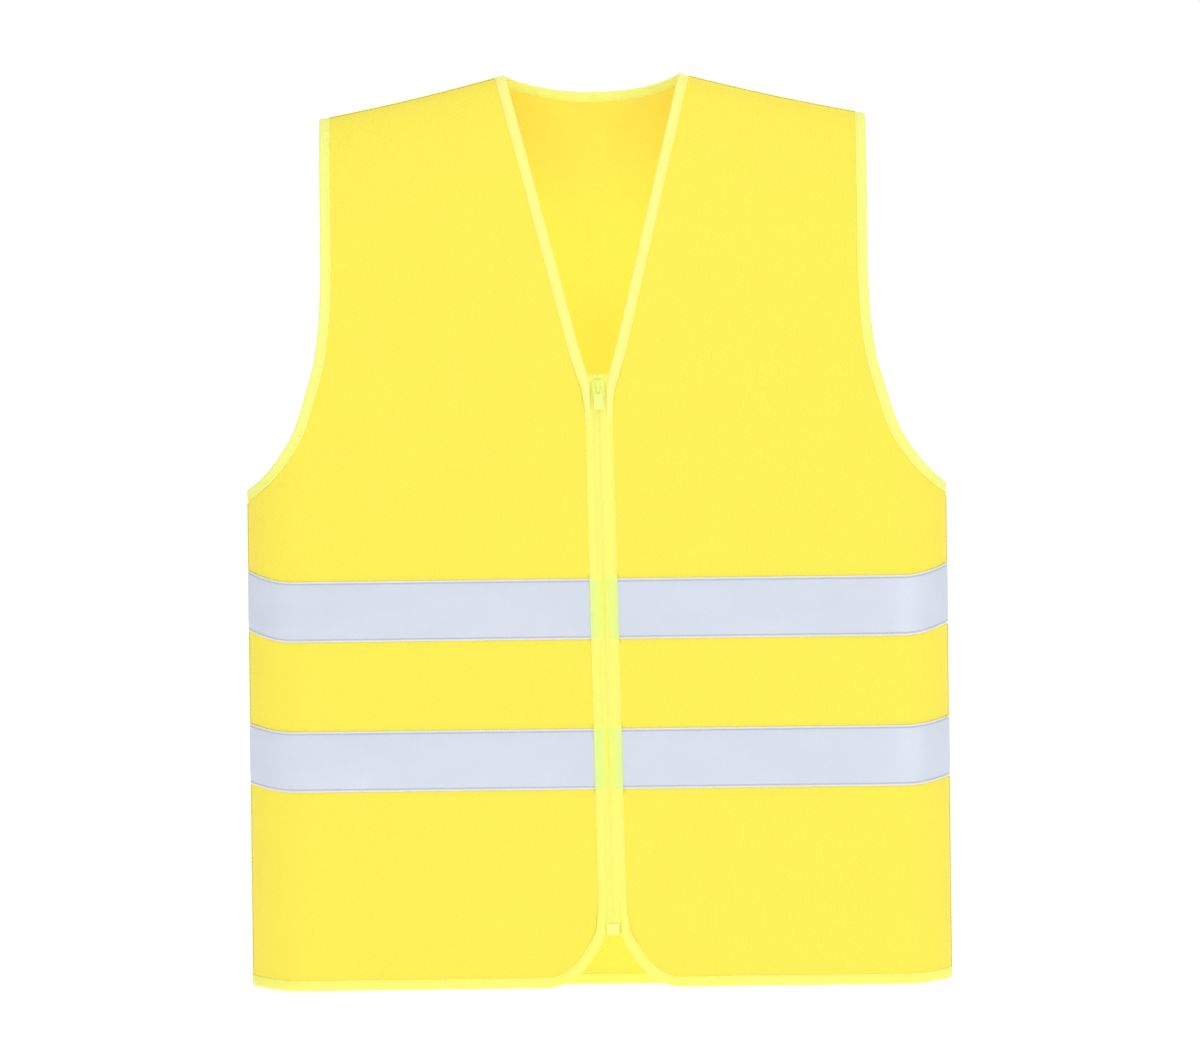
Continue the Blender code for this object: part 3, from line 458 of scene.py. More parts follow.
# ---------------------------------------------------------------- material nodes
class Nodes:
    """Writes the node tree of one material; socket values may be numbers, colours or links."""

    def __init__(self, name):
        self.mat = bpy.data.materials.new(name)
        self.mat.use_nodes = True
        self.tree = self.mat.node_tree
        self.shader = self.tree.nodes["Principled BSDF"]

    def node(self, kind, **settings):
        node = self.tree.nodes.new("ShaderNode" + kind)
        for key, value in settings.items():
            setattr(node, key, value)
        return node

    def put(self, socket, value):
        if isinstance(value, bpy.types.NodeSocket):
            self.tree.links.new(value, socket)
        else:
            socket.default_value = (*value, 1) if isinstance(value, tuple) else value

    def fill(self, node, *values):
        for socket, value in zip(node.inputs, values):
            self.put(socket, value)
        return node.outputs[0]

    def math(self, operation, first, second=0.0, third=0.0):
        return self.fill(self.node("Math", operation=operation), first, second, third)

    def add(self, first, second):
        return self.math("ADD", first, second)

    def subtract(self, first, second):
        return self.math("SUBTRACT", first, second)

    def multiply(self, first, second):
        return self.math("MULTIPLY", first, second)

    def scaled(self, value, gain, base):
        return self.math("MULTIPLY_ADD", value, gain, base)

    def ramp(self, value, start, end, low=0.0, high=1.0):
        """Soft step from low to high while value goes from start to end."""
        node = self.node("MapRange", interpolation_type="SMOOTHSTEP")
        return self.fill(node, value, start, end, low, high)

    def mix(self, factor, first, second):
        node = self.node("Mix", data_type="RGBA")
        self.put(node.inputs[0], factor)
        self.put(node.inputs[6], first)
        self.put(node.inputs[7], second)
        return node.outputs[2]

    def uv(self):
        source = self.node("UVMap", uv_map="cloth")
        split = self.node("SeparateXYZ")
        self.put(split.inputs[0], source.outputs[0])
        return split.outputs[0], split.outputs[1]

    def object_place(self):
        return self.node("TexCoord").outputs["Object"]

    def vector(self, x, y, z=0.0):
        return self.fill(self.node("CombineXYZ"), x, y, z)

    def noise(self, place, scale, detail=2.0, rough=0.5):
        node = self.node("TexNoise")
        for key, value in (("Vector", place), ("Scale", scale), ("Detail", detail),
                           ("Roughness", rough)):
            self.put(node.inputs[key], value)
        return node.outputs[0]

    def wave(self, value, length):
        """0 to 1 ripple of a coordinate in metres."""
        sine = self.math("SINE", self.multiply(value, 2 * math.pi / length))
        return self.scaled(sine, gain=0.5, base=0.5)

    def finish(self, colour, roughness, height=None, bump=0.0, strength=0.0, **extra):
        """Connect the shader; bump is the depth of the relief in metres."""
        self.put(self.shader.inputs["Base Color"], colour)
        self.put(self.shader.inputs["Roughness"], roughness)
        if height is not None:
            node = self.node("Bump")
            for key, value in (("Distance", bump), ("Strength", strength), ("Height", height)):
                self.put(node.inputs[key], value)
            self.put(self.shader.inputs["Normal"], node.outputs[0])
        for key, value in extra.items():
            self.put(self.shader.inputs[key.replace("_", " ")], value)
        return self.mat


# ---------------------------------------------------------------- materials
def knit_material(name, yarn, hole_shade):
    """Open mesh knit: staggered upright holes between wales of yarn; the holes carry painted shade
    and the ribs between them a painted highlight.
    """
    nodes = Nodes(name)
    u, v = nodes.uv()
    place = nodes.vector(u, v)
    sway_u = nodes.scaled(nodes.noise(place, scale=160), gain=0.0007, base=-0.00035)
    sway_v = nodes.scaled(nodes.noise(nodes.vector(v, u, 3.0), scale=140),
                          gain=0.0009, base=-0.00045)
    u, v = nodes.add(u, sway_u), nodes.add(v, sway_v)
    # pitch of the holes across and up, and their half sizes
    pitches, radii = (0.0027, 0.0048), (0.00050, 0.00118)
    roundness = 2.2
    near = []
    for shift in (0.0, 0.5):        # every other row is shifted by half a pitch
        offsets = [nodes.subtract(nodes.math("FRACT", nodes.scaled(
            place_in, gain=1 / pitch, base=100 + shift)), 0.5)
            for place_in, pitch in zip((u, v), pitches)]
        parts = [nodes.math("POWER", nodes.math("ABSOLUTE", nodes.multiply(
            offset, pitch / radius)), roundness)
            for offset, pitch, radius in zip(offsets, pitches, radii)]
        near.append(nodes.add(*parts))
    nearest = nodes.math("MINIMUM", *near)
    hole_mask = nodes.ramp(nearest, start=0.55, end=1.35, low=1.0, high=0.0)
    rib = nodes.ramp(nearest, start=1.2, end=3.2)
    wale = nodes.wave(u, length=0.0009)
    course = nodes.wave(v, length=0.00105)
    yarn_tone = nodes.scaled(nodes.noise(place, scale=26, detail=4, rough=0.6),
                             gain=0.035, base=0.985)
    fleck = nodes.scaled(nodes.noise(place, scale=900, rough=0.7), gain=0.12, base=0.94)
    tone = nodes.multiply(yarn_tone, fleck)
    shade = nodes.node("Mix", data_type="RGBA", blend_type="MULTIPLY")
    shade.inputs[0].default_value = 1.0
    # the holes are painted a darker gold as painted shade seen through them
    hole_shade_share, rib_highlight_share = 0.62, 0.25
    base = nodes.mix(nodes.multiply(hole_mask, hole_shade_share), yarn, hole_shade)
    # the ribs between the holes are mixed towards a paler yarn colour, a painted highlight
    rib_highlight = tuple(min(1.0, c * 1.02 + 0.012) for c in yarn)
    base = nodes.mix(nodes.multiply(rib, rib_highlight_share), base, rib_highlight)
    nodes.put(shade.inputs[6], base)
    nodes.put(shade.inputs[7], nodes.fill(nodes.node("CombineColor"), tone, tone, tone))
    # relief of the holes, of the stitches and of the ribs between holes
    hole_depth, stitch_height, rib_height = 0.9, 0.16, 0.12
    height = nodes.subtract(1.0, nodes.multiply(hole_mask, hole_depth))
    height = nodes.add(height, nodes.multiply(nodes.multiply(wale, course), stitch_height))
    height = nodes.add(height, nodes.multiply(rib, rib_height))
    rough = nodes.scaled(nodes.noise(place, scale=300), gain=0.12, base=0.78)
    return nodes.finish(shade.outputs[2], rough, height, bump=0.00030, strength=0.55,
                        Sheen_Weight=0.08, Sheen_Roughness=0.45, Specular_IOR_Level=0.25,
                        Emission_Color=yarn, Emission_Strength=0.0)


def rib_material(name, colour, dark):
    """Folded binding: fine slanting ribs across the strip."""
    nodes = Nodes(name)
    u, v = nodes.uv()                       # u along the strip, v across it
    place = nodes.vector(u, v)
    lean, tone_share, grain_height = 0.35, 0.14, 0.3
    slant = nodes.add(u, nodes.multiply(v, lean))
    rib = nodes.wave(nodes.scaled(nodes.noise(place, scale=220), gain=0.00035, base=slant),
                     length=0.00115)
    cross = nodes.wave(v, length=0.0008)
    weave = nodes.multiply(rib, nodes.scaled(cross, gain=0.4, base=0.6))
    tone = nodes.noise(place, scale=40, detail=4, rough=0.6)
    base = nodes.mix(nodes.scaled(weave, gain=-0.22, base=0.26), colour, dark)
    patches = nodes.ramp(tone, start=0.35, end=0.75)
    base = nodes.mix(nodes.multiply(patches, tone_share), base, dark)
    rough = nodes.scaled(tone, gain=0.14, base=0.60)
    height = nodes.add(weave, nodes.multiply(nodes.noise(place, scale=1400), grain_height))
    return nodes.finish(base, rough, height, bump=0.00022, strength=0.6,
                        Sheen_Weight=0.2, Sheen_Roughness=0.4, Specular_IOR_Level=0.3,
                        Emission_Color=colour, Emission_Strength=0.0)


def reflective_material(name, silver, bright, margin, stitch_groove_shade):
    """Retroreflective tape: tiny glass beads on cloth, a paler margin outside the stitching and
    painted shade along the stitch line.
    """
    nodes = Nodes(name)
    u, v = nodes.uv()                       # u along the band, v across it from its lower edge
    place = nodes.vector(u, v)
    edge = nodes.math("MINIMUM", v, nodes.subtract(BAND_W, v))
    beads = nodes.node("TexVoronoi")
    nodes.put(beads.inputs["Vector"], place)
    beads.inputs["Scale"].default_value = 2600
    bead = beads.outputs["Distance"]
    # stretch of the cloud and crease patterns, along or across the band
    cloud_u, crease_u, crease_v = 0.5, 1.0, 0.35
    cloud = nodes.noise(nodes.vector(nodes.multiply(u, cloud_u), v),
                        scale=24, detail=4, rough=0.55)
    thread = nodes.multiply(nodes.wave(u, length=0.00075), nodes.wave(v, length=0.00075))
    base = nodes.mix(nodes.ramp(cloud, start=0.30, end=0.72), silver, bright)
    base = nodes.mix(nodes.ramp(bead, start=0.25, end=0.75, low=0.0, high=0.22), base,
                     tuple(c * 0.80 for c in silver))
    crease = nodes.noise(nodes.vector(nodes.multiply(u, crease_u), nodes.multiply(v, crease_v)),
                         scale=55, detail=3)
    base = nodes.mix(nodes.ramp(crease, start=0.60, end=0.74, low=0.0, high=0.30), base, bright)
    # the stitch line is painted dark: painted shade in its groove between the stitches
    line = nodes.ramp(nodes.math("ABSOLUTE", nodes.subtract(edge, BAND_STITCH)),
                      start=0.00025, end=0.00075, low=1.0, high=0.0)
    # share of the painted shade along the stitch line; relief of beads, threads and groove
    line_share, bead_height, thread_height, line_depth = 0.55, -0.5, 0.35, 1.2
    base = nodes.mix(nodes.multiply(line, line_share), base, stitch_groove_shade)
    base = nodes.mix(nodes.ramp(edge, start=0.0006, end=0.0014, low=0.60, high=0.0), base, margin)
    height = nodes.add(nodes.multiply(bead, bead_height), nodes.multiply(thread, thread_height))
    height = nodes.subtract(height, nodes.multiply(line, line_depth))
    rough = nodes.add(nodes.scaled(cloud, gain=0.14, base=0.36),
                      nodes.ramp(edge, start=0.0008, end=0.0016, low=0.2, high=0.0))
    return nodes.finish(base, rough, height, bump=0.00012, strength=0.5,
                        Metallic=0.22, Specular_IOR_Level=0.45, Sheen_Weight=0.1,
                        Coat_Weight=0.06, Coat_Roughness=0.3)


def tape_material(name, colour, dark, over_band_colour, over_edge):
    """Woven zip tape: herringbone, with a greener cast where it lies over a band."""
    nodes = Nodes(name)
    out, z = nodes.uv()                     # out from the zip line, z the height
    place = nodes.vector(out, z)
    chevron, soft = 0.0030, 0.0006          # width of a chevron, softness of the band's edges
    zigzag = nodes.math("ABSOLUTE", nodes.subtract(
        nodes.math("FRACT", nodes.multiply(out, 1 / chevron)), 0.5))
    twill = nodes.wave(nodes.scaled(zigzag, gain=chevron, base=z), length=0.0010)
    warp = nodes.wave(out, length=0.00062)
    weave = nodes.multiply(twill, nodes.scaled(warp, gain=0.5, base=0.5))
    base = nodes.mix(nodes.scaled(weave, gain=-0.24, base=0.28), colour, dark)
    spans = []
    for low in (LOWER_BAND_Z, UPPER_BAND_Z):
        high = low + BAND_W
        spans.append(nodes.multiply(
            nodes.ramp(z, start=low - soft, end=low + soft),
            nodes.ramp(z, start=high - soft, end=high + soft, low=1.0, high=0.0)))
    on_band = nodes.math("MAXIMUM", *spans)
    outer = nodes.ramp(out, start=TAPE_IN - 0.0007, end=TAPE_IN + 0.0007)
    # shares of the colours over a band; share and relief of the teeth; relief of the grain
    band_share, edge_share, tooth_share, tooth_height, grain_height = 0.55, 0.8, 0.22, 1.4, 0.25
    base = nodes.mix(nodes.multiply(on_band, band_share), base, over_band_colour)
    base = nodes.mix(nodes.multiply(nodes.multiply(on_band, outer), edge_share), base, over_edge)
    # the centre, where the two tapes roll over the coil, shows each tooth as a faint rib
    tooth = nodes.wave(z, length=COIL_PITCH)
    middle = nodes.ramp(out, start=0.0022, end=0.0036, low=1.0, high=0.0)
    base = nodes.mix(nodes.multiply(nodes.multiply(tooth, middle), tooth_share), base, dark)
    height = nodes.add(weave, nodes.multiply(nodes.multiply(tooth, middle), tooth_height))
    height = nodes.add(height, nodes.multiply(nodes.noise(place, scale=1600), grain_height))
    rough = nodes.scaled(nodes.noise(place, scale=120, detail=3), gain=0.12, base=0.56)
    return nodes.finish(base, rough, height, bump=0.00016, strength=0.6,
                        Sheen_Weight=0.15, Specular_IOR_Level=0.35)


def plain_material(name, colour, dark, roughness, bump=0.00003, grain=2100, **extra):
    """Moulded, enamelled or spun stuff: fine grain and a slow change of tone."""
    nodes = Nodes(name)
    place = nodes.object_place()
    slow = nodes.noise(place, scale=160, detail=3, rough=0.55)
    fine = nodes.noise(place, scale=grain, detail=3, rough=0.6)
    base = nodes.mix(nodes.ramp(slow, start=0.3, end=0.75, low=0.0, high=0.45), colour, dark)
    rough = nodes.scaled(fine, gain=0.18, base=roughness - 0.06)
    return nodes.finish(base, rough, fine, bump=bump, strength=0.5, **extra)


BAND_STITCH = 0.0021        # stitch line in from a band's edge
COIL_PITCH = 0.0012

knit = knit_material("mesh_knit", yarn=(0.938, 0.803, 0.089), hole_shade=(0.905, 0.752, 0.056))
knit_back = knit_material("mesh_knit_back", yarn=(0.940, 0.800, 0.098), hole_shade=(0.905, 0.745, 0.062))
binding_mat = rib_material("binding", colour=(0.895, 0.932, 0.245), dark=(0.85, 0.85, 0.15))
hem_mat = rib_material("binding_hem", colour=(0.945, 0.935, 0.185), dark=(0.87, 0.83, 0.11))
v_mat = rib_material("binding_neck", colour=(0.970, 0.930, 0.265), dark=(0.90, 0.84, 0.17))
silver_mat = reflective_material(
    "reflective_tape", silver=(0.640, 0.693, 0.795), bright=(0.668, 0.718, 0.815),
    margin=(0.86, 0.85, 0.80), stitch_groove_shade=(0.45, 0.47, 0.56))
tape_mat = tape_material(
    "zip_tape", colour=(0.930, 0.905, 0.180), dark=(0.90, 0.85, 0.11),
    over_band_colour=(0.77, 0.925, 0.168), over_edge=(0.725, 0.905, 0.275))
coil_mat = plain_material("zip_coil", colour=(0.96, 0.93, 0.20), dark=(0.86, 0.82, 0.11),
                          roughness=0.42, Specular_IOR_Level=0.5)
THREAD = {"bump": 0.00004, "grain": 4500, "Sheen_Weight": 0.2}
thread_mat = plain_material("thread_yellow", colour=(0.975, 0.95, 0.22), dark=(0.92, 0.88, 0.15),
                            roughness=0.55, **THREAD)
grey_thread = plain_material("thread_grey", colour=(0.56, 0.58, 0.66), dark=(0.44, 0.46, 0.54),
                             roughness=0.5, **THREAD)
plastic_mat = plain_material("moulded_plastic", colour=(0.90, 0.97, 0.25), dark=(0.80, 0.90, 0.14),
                             roughness=0.40, Specular_IOR_Level=0.5, Coat_Weight=0.1)
# slider and pull share one paint; the slider's colour is that paint with painted shade added, a
# little darker and greener, for the shade round its bail
slider_paint_and_shade_mat = plain_material("slider_enamel_and_shade", colour=(0.890, 0.945, 0.200), dark=(0.83, 0.90, 0.15),
                           roughness=0.34, Coat_Weight=0.25, Coat_Roughness=0.15)
pull_mat = plain_material("pull_enamel", colour=(0.865, 0.975, 0.255), dark=(0.83, 0.95, 0.22),
                          roughness=0.30, Coat_Weight=0.3, Coat_Roughness=0.12)


# ---------------------------------------------------------------- how pieces ride
def fold_span(sign):
    """Two points 30 mm to either side of a front's fold line."""
    along = Vector((sign * (FOLD_TOP[0] - FOLD_HEM[0]), 0, FOLD_TOP[1] - FOLD_HEM[1])).normalized()
    inward = Vector((-sign * along.z, 0, sign * along.x))
    foot = Vector((sign * FOLD_HEM[0], FRONT_Y - 0.0016, 0))
    return tuple(foot - inward * 0.030), tuple(foot + inward * 0.030)


FOLD = {side: fold_span(sign) for side, sign in SIDES}


def attach(obj, where, slot, *cad_nodes):
    """Ride on a body; for "left" and "right" only bake the transform into the mesh."""
    if where in FOLD:
        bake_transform(obj)
    else:
        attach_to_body(obj, where)
    if cad_nodes:
        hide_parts(*cad_nodes)


# ---------------------------------------------------------------- knit panels
ROWS, FRONT_COLS, BACK_HALF_COLS = 300, 118, 110
ZIP_SIDE = 0.0065           # knit edge beside the zip line
ROW_SHARE = np.linspace(1, 0, ROWS)         # from the hem up
ARM_EDGE = armhole_curve(EDGE_INSET)


def outer_edge(below):
    """around of the panel's outer edge."""
    order = np.argsort(ARM_EDGE[:, 1])
    around = np.interp(below, ARM_EDGE[order, 1], ARM_EDGE[order, 0])
    seam_edge = SIDE_AROUND - SEAM_GAP
    return np.where(below > ARM_EDGE[-1, 1], seam_edge, np.minimum(around, seam_edge))


def side_edge(facing, sign):
    hem = float(below_of(HALF_WIDTH, hem_z(facing, sign * HALF_WIDTH, HEM_INSET)))
    rows = hem * ROW_SHARE
    return columns(outer_edge(rows), rows)


def hem_edge(facing, sign, around, inner, outer):
    x = x_of(around)
    edge = columns(around, below_of(x, hem_z(facing, sign * x, HEM_INSET)))
    edge[0], edge[-1] = inner[0], outer[0]
    return edge


def fill_edges(inner, outer, low, high):
    """Grid of points between four edges: rows run up, columns run outward."""
    v = np.linspace(0, 1, len(inner))[:, None, None]
    u = np.linspace(0, 1, len(low))[None, :, None]
    corners = ((1 - u) * (1 - v) * low[0] + u * (1 - v) * low[-1]
               + (1 - u) * v * high[0] + u * v * high[-1])
    return ((1 - v) * low[None] + v * high[None]
            + (1 - u) * inner[:, None] + u * outer[:, None] - corners)


def front_grid(sign):
    """(around, below) grid of one front, as distances from the middle."""
    # inner edge: up beside the zip, then up the V to the neck point
    z_low = float(hem_z(FRONT, sign * (sign * FOOT_X + ZIP_SIDE), HEM_INSET))
    z = np.concatenate([np.linspace(z_low, V_BOTTOM_Z, 400),
                        np.linspace(V_BOTTOM_Z, NECK_Z + 0.02, 900)[1:]])
    zip_at = sign * zip_x(z)
    beside_v = zip_at + v_fold(z) + EDGE_INSET * math.hypot(1, V_LEAN)
    x = np.where(z < V_BOTTOM_Z - 0.012, zip_at + ZIP_SIDE,
                 np.maximum(zip_at + ZIP_SIDE, beside_v))
    drop = ridge(x) - z
    keep = drop > 0
    x, below = x[keep], below_of_drop(drop[keep])
    x, below = np.append(x, x[-1] + (x[-1] - x[-2]) * 0.5), np.append(below, 0.0)
    rows = below[0] * ROW_SHARE
    inner = columns(np.interp(rows, below[::-1], around_of(x)[::-1]), rows)
    outer = side_edge(FRONT, sign)
    share = np.linspace(0, 1, FRONT_COLS)
    low_around = inner[0, 0] + (outer[0, 0] - inner[0, 0]) * share
    low = hem_edge(FRONT, sign, low_around, inner, outer)
    high = columns(inner[-1, 0] + (outer[-1, 0] - inner[-1, 0]) * share, 0.0)
    return fill_edges(inner, outer, low, high)


def back_grid():
    """(around, below) grid of the whole back."""
    # top edge: the neckline out to the neck point, then the shoulder line
    x = np.concatenate([np.linspace(0, 0.060, 60),
                        np.linspace(0.060, NECK_X + EDGE_INSET, 200)[1:]])
    neck = resample(columns(x, neckline_below(x, EDGE_INSET)), 0.0022)
    rest = BACK_HALF_COLS - len(neck)
    tip = float(outer_edge(0.0))
    high = np.vstack([neck, columns(np.linspace(neck[-1, 0], tip, rest + 1)[1:], 0.0)])
    outer = side_edge(BACK, 1)
    hem_mid = float(below_of(0.0, HEM_INSET))
    top_mid = high[0, 1]
    inner = columns(0.0, top_mid + (hem_mid - top_mid) * ROW_SHARE)
    low_around = (SIDE_AROUND - SEAM_GAP) * np.linspace(0, 1, BACK_HALF_COLS)
    low = hem_edge(BACK, 1, low_around, inner, outer)
    high[-1] = outer[-1]
    half = fill_edges(inner, outer, low, high)
    return np.concatenate([half[:, :0:-1] * np.array([-1, 1]), half], 1)


def panel(name, facing, grid, sign, material):
    around, below = sign * grid[..., 0], np.maximum(grid[..., 1], 0)
    mid, out = lay(surface(facing, around, below))
    return shell(name, mid, out, CLOTH, columns(around, -below), material)


for side, sign in SIDES:
    attach(panel(f"front_{side}", FRONT, front_grid(sign), sign, knit),
           side, "knit", f"front_side_{side}", f"front_fold_{side}")
attach(panel("back", BACK, back_grid(), 1, knit_back), "vest", "knit_back", "back_panel")

# ---------------------------------------------------------------- stitching
stitch_runs = {"vest": [], "left": [], "right": []}
# one stitch dips in at both ends: share of its length, height in radii, thickness in radii
STITCH = np.array([(0.0, -0.9, 0.55), (0.16, 0.35, 0.95), (0.5, 1.0, 1.0), (0.84, 0.35, 0.95),
                   (1.0, -0.9, 0.55)])


def stitches(where, path, out, material=0, length=0.0026, gap=0.0008, radius=0.00021,
             lift=0.00012):
    """Note a row of lockstitches along a path; material 0 is yellow thread, 1 grey."""
    run = run_length(path)
    count = max(1, int(run[-1] // (length + gap)))
    step = run[-1] / count
    start = np.arange(count) * step + (step - length) / 2
    shares, heights, sizes = STITCH.T
    at = start[:, None] + shares[None] * length
    centre = columns(*(np.interp(at, run, column) for column in path.T))
    up = unit(columns(*(np.interp(at, run, column) for column in out.T)))
    along = unit(centre[:, -1] - centre[:, 0])[:, None]
    across = unit(np.cross(up, np.broadcast_to(along, up.shape)))
    centre = centre + up * (lift + heights * radius)[None, :, None]
    stitch_runs[where].append((wire_rings(centre, radius * sizes, across, up), material))


def make_threads(where, runs):
    """All threads of one body as one piece."""
    verts, faces, face_material, start = [], [], [], 0
    for rings, material in runs:
        count, rows, sides = rings.shape[:3]
        first = start + np.arange(count)[:, None] * rows * sides
        quads = (first[..., None] + grid_faces(rows, sides, loop_cols=True)).reshape(-1, 4)
        cap = np.arange(sides)[None]
        faces += quads.tolist() + (first + cap[:, ::-1]).tolist()
        faces += (first + (rows - 1) * sides + cap).tolist()
        face_material += [material] * (len(quads) + 2 * count)
        verts.append(rings.reshape(-1, 3))
        start += count * rows * sides
    obj = make_object(f"stitching_{where}", np.concatenate(verts), faces, None,
                      [thread_mat, grey_thread], face_material)
    attach(obj, where, "binding")


# ---------------------------------------------------------------- bindings
# half section of a folded strip: distance in from the path, height off the cloth
OUTER = [
    (0.00770, 0.00042), (0.00765, 0.00060), (0.00735, 0.00080), (0.00680, 0.00092),
    (0.00620, 0.00086), (0.00585, 0.00080), (0.00550, 0.00086), (0.00470, 0.00102),
    (0.00350, 0.00112), (0.00220, 0.00120), (0.00110, 0.00126), (0.00020, 0.00122),
    (-0.00050, 0.00098), (-0.00092, 0.00055), (-0.00105, 0.0)]
INNER = [
    (-0.00050, 0.0), (-0.00040, 0.00036), (-0.00005, 0.00052), (0.00060, 0.00052),
    (0.00150, 0.00046), (0.00300, 0.00038), (0.00450, 0.00034), (0.00600, 0.00032),
    (0.00700, 0.00031), (0.00755, 0.00032)]


def mirrored(points):
    return [(inward, -height) for inward, height in reversed(points)]


# outside from the outer leg to the inner leg, then back along the inside of the fold
PROFILE = np.array(OUTER + mirrored(OUTER[:-1]) + mirrored(INNER[1:]) + INNER)
BINDING_STEP = 0.0028
DENT_IN, DENT_HEIGHT = 0.0059, 0.00082      # stitch line of a binding
TAPE_CLIMB = 0.00046        # how far the outer leg climbs where it lies over the zip tape
MELT_HEIGHT = 0.00046       # its height where it has sunk into the tape
NARROWING = 0.52            # share of its width it loses there


def binding_rings(path, into, seed, loop=False, over=0.0, melt=0.0, narrow=0.0):
    """Rings of the folded strip along a path on the surface, its UVs and its stitch lines.

    over, melt and narrow are shares, 0 to 1: the outer leg climbs over the tape, it sinks into
    the tape, the strip narrows.
    """
    none = np.zeros(len(path))
    climb, melt, reach = TAPE_CLIMB * over + none, melt + none, 1 - NARROWING * narrow + none
    if loop:
        tangent = np.roll(path, -1, 0) - np.roll(path, 1, 0)
    else:
        tangent = np.gradient(path, axis=0)
    inward = unit(np.cross(normals(path), tangent))
    inward = inward * np.where((inward * into).sum(-1) < 0, -1, 1)[:, None]
    length = run_length(path)
    if loop:                                     # whole waves round a loop
        total = length[-1] + np.linalg.norm(path[0] - path[-1])
        ripple = sum(np.sin(2 * math.pi * length / total * k + k * seed)
                     for k in (31, 47, 58, 83)) / 2.6
    else:
        ripple = waves(length, 0.0, seed=40 + seed, lengths=(0.010, 0.030))
    deep, high = PROFILE.T[:, None]
    scale = np.where(deep > 0, reach[:, None], 1.0)
    points = onto(path[:, None] + inward[:, None] * (deep * scale)[..., None])
    # the legs lie down on the cloth and pucker slightly between stitches
    leg = smooth(deep / 0.004)
    off = high * (1 + 0.07 * ripple[:, None] * (0.4 + 0.6 * leg))
    off = off + climb[:, None] * np.clip(high / 0.0003, 0, 1)
    sunk = off * (1 - melt[:, None]) + np.minimum(off, MELT_HEIGHT) * melt[:, None]
    off = np.where(high > 0, sunk, off)
    rings = lay(points, off)[0]
    uv = columns(length[:, None], run_length(PROFILE)[None])
    # the stitch line runs in the dent on both legs
    dent = onto(path + inward * (DENT_IN * reach)[:, None])
    ceiling = np.where(melt > 0, 0.00086, np.inf)
    runs = []
    for leg_sign, height in ((1, np.minimum(DENT_HEIGHT + climb, ceiling)), (-1, DENT_HEIGHT)):
        line, out = lay(dent, leg_sign * height)
        runs.append((line, out * leg_sign))
    return rings, uv, runs


def armhole_binding(side, sign, edge):
    front = surface(FRONT, sign * edge[:, 0], edge[:, 1])
    back = surface(BACK, sign * edge[:, 0], edge[:, 1])
    path = np.vstack([front, back[-2:0:-1]])
    # round off the corner at the side seam
    for _ in range(6):
        near = smooth(1 - np.abs(path[:, 0] - sign * HALF_WIDTH) / 0.006)[:, None]
        neighbours = np.roll(path, 1, 0) + np.roll(path, -1, 0)
        path = path * (1 - 0.5 * near) + 0.25 * near * neighbours
    path = onto(path)
    into = path - np.array([sign * 0.33, MID_Y, 0.60])      # away from inside the armhole
    rings, uv, runs = binding_rings(path, into, seed=3 + sign, loop=True)
    obj = tube(f"armhole_edge_{side}", rings, uv, binding_mat, loop=True)
    attach(obj, "vest", "binding", f"armhole_binding_{side}")
    for line, out in runs:
        stitches("vest", np.vstack([line, line[:1]]), np.vstack([out, out[:1]]))


def with_mirror(half):
    """A back edge from the left side to the middle, carried on to the right side."""
    return np.vstack([half, half[-2::-1] * np.array([-1, 1, 1])])


def join_strip(left, back, right):
    """One path over left front, back and right front, and the two points where it is split."""
    first = len(left) - 1
    return np.vstack([left, back[1:], right[-2::-1]]), first, first + len(back) - 1


def split_strip(prefix, rings, uv, runs, melt, splits, looks):
    """Build a strip as left, back and right pieces; looks holds their materials and CAD nodes."""
    first, last = splits
    spans = (("left", 0, first + 1), ("back", first, last + 1), ("right", last, len(rings)))
    for (part, start, stop), (material, cad_node) in zip(spans, looks):
        where = "vest" if part == "back" else part
        span = slice(start, stop)
        obj = tube(f"{prefix}_{part}", rings[span], uv[span], material)
        attach(obj, where, "binding", cad_node)
        sewn = melt[span] < 0.4
        for line, out in runs:
            stitches(where, line[span][sewn], out[span][sewn])


# heights where the neck and hem strips have melted into the zip tapes
STRIP_JOIN, HEM_JOIN = 0.4640, 0.0820


def neck_front(sign):
    """Path from beside the zip up one V edge to the shoulder line."""
    z = np.concatenate([np.linspace(STRIP_JOIN, 0.70, 180), np.linspace(0.70, 0.76, 400)[1:]])
    x = sign * zip_x(z) + v_fold(z) + BINDING_INSET
    drop = ridge(x) - z
    keep = drop > 0
    around = np.append(around_of(x[keep]), NECK_X + BINDING_INSET)
    below = np.append(below_of_drop(drop[keep]), 0.0)
    edge = resample(columns(around, below), BINDING_STEP)
    return surface(FRONT, sign * edge[:, 0], edge[:, 1])


def neck_binding():
    """Up the left V edge, round the back of the neck and down the right V edge."""
    x = np.concatenate([np.linspace(NECK_X + BINDING_INSET, 0.060, 300),
                        np.linspace(0.060, 0, 100)[1:]])
    edge = resample(columns(x, neckline_below(x, BINDING_INSET)), BINDING_STEP)
    back = with_mirror(surface(BACK, edge[:, 0], edge[:, 1]))
    path, *splits = join_strip(neck_front(1), back, neck_front(-1))
    x, y, z = path.T
    into = np.where((y > MID_Y + 0.012)[:, None], columns(x * 0.8, 0.0, -0.10),
                    columns(np.sign(x), 0.0, 0.0))
    melt = smooth((0.482 - z) / 0.018)
    rings, uv, runs = binding_rings(path, into, seed=7, over=smooth((0.530 - z) / 0.020),
                                    melt=melt, narrow=smooth((0.512 - z) / 0.046))
    split_strip("neck_edge", rings, uv, runs, melt, splits,
                ((v_mat, "v_binding_left"), (binding_mat, "neck_binding"),
                 (v_mat, "v_binding_right")))


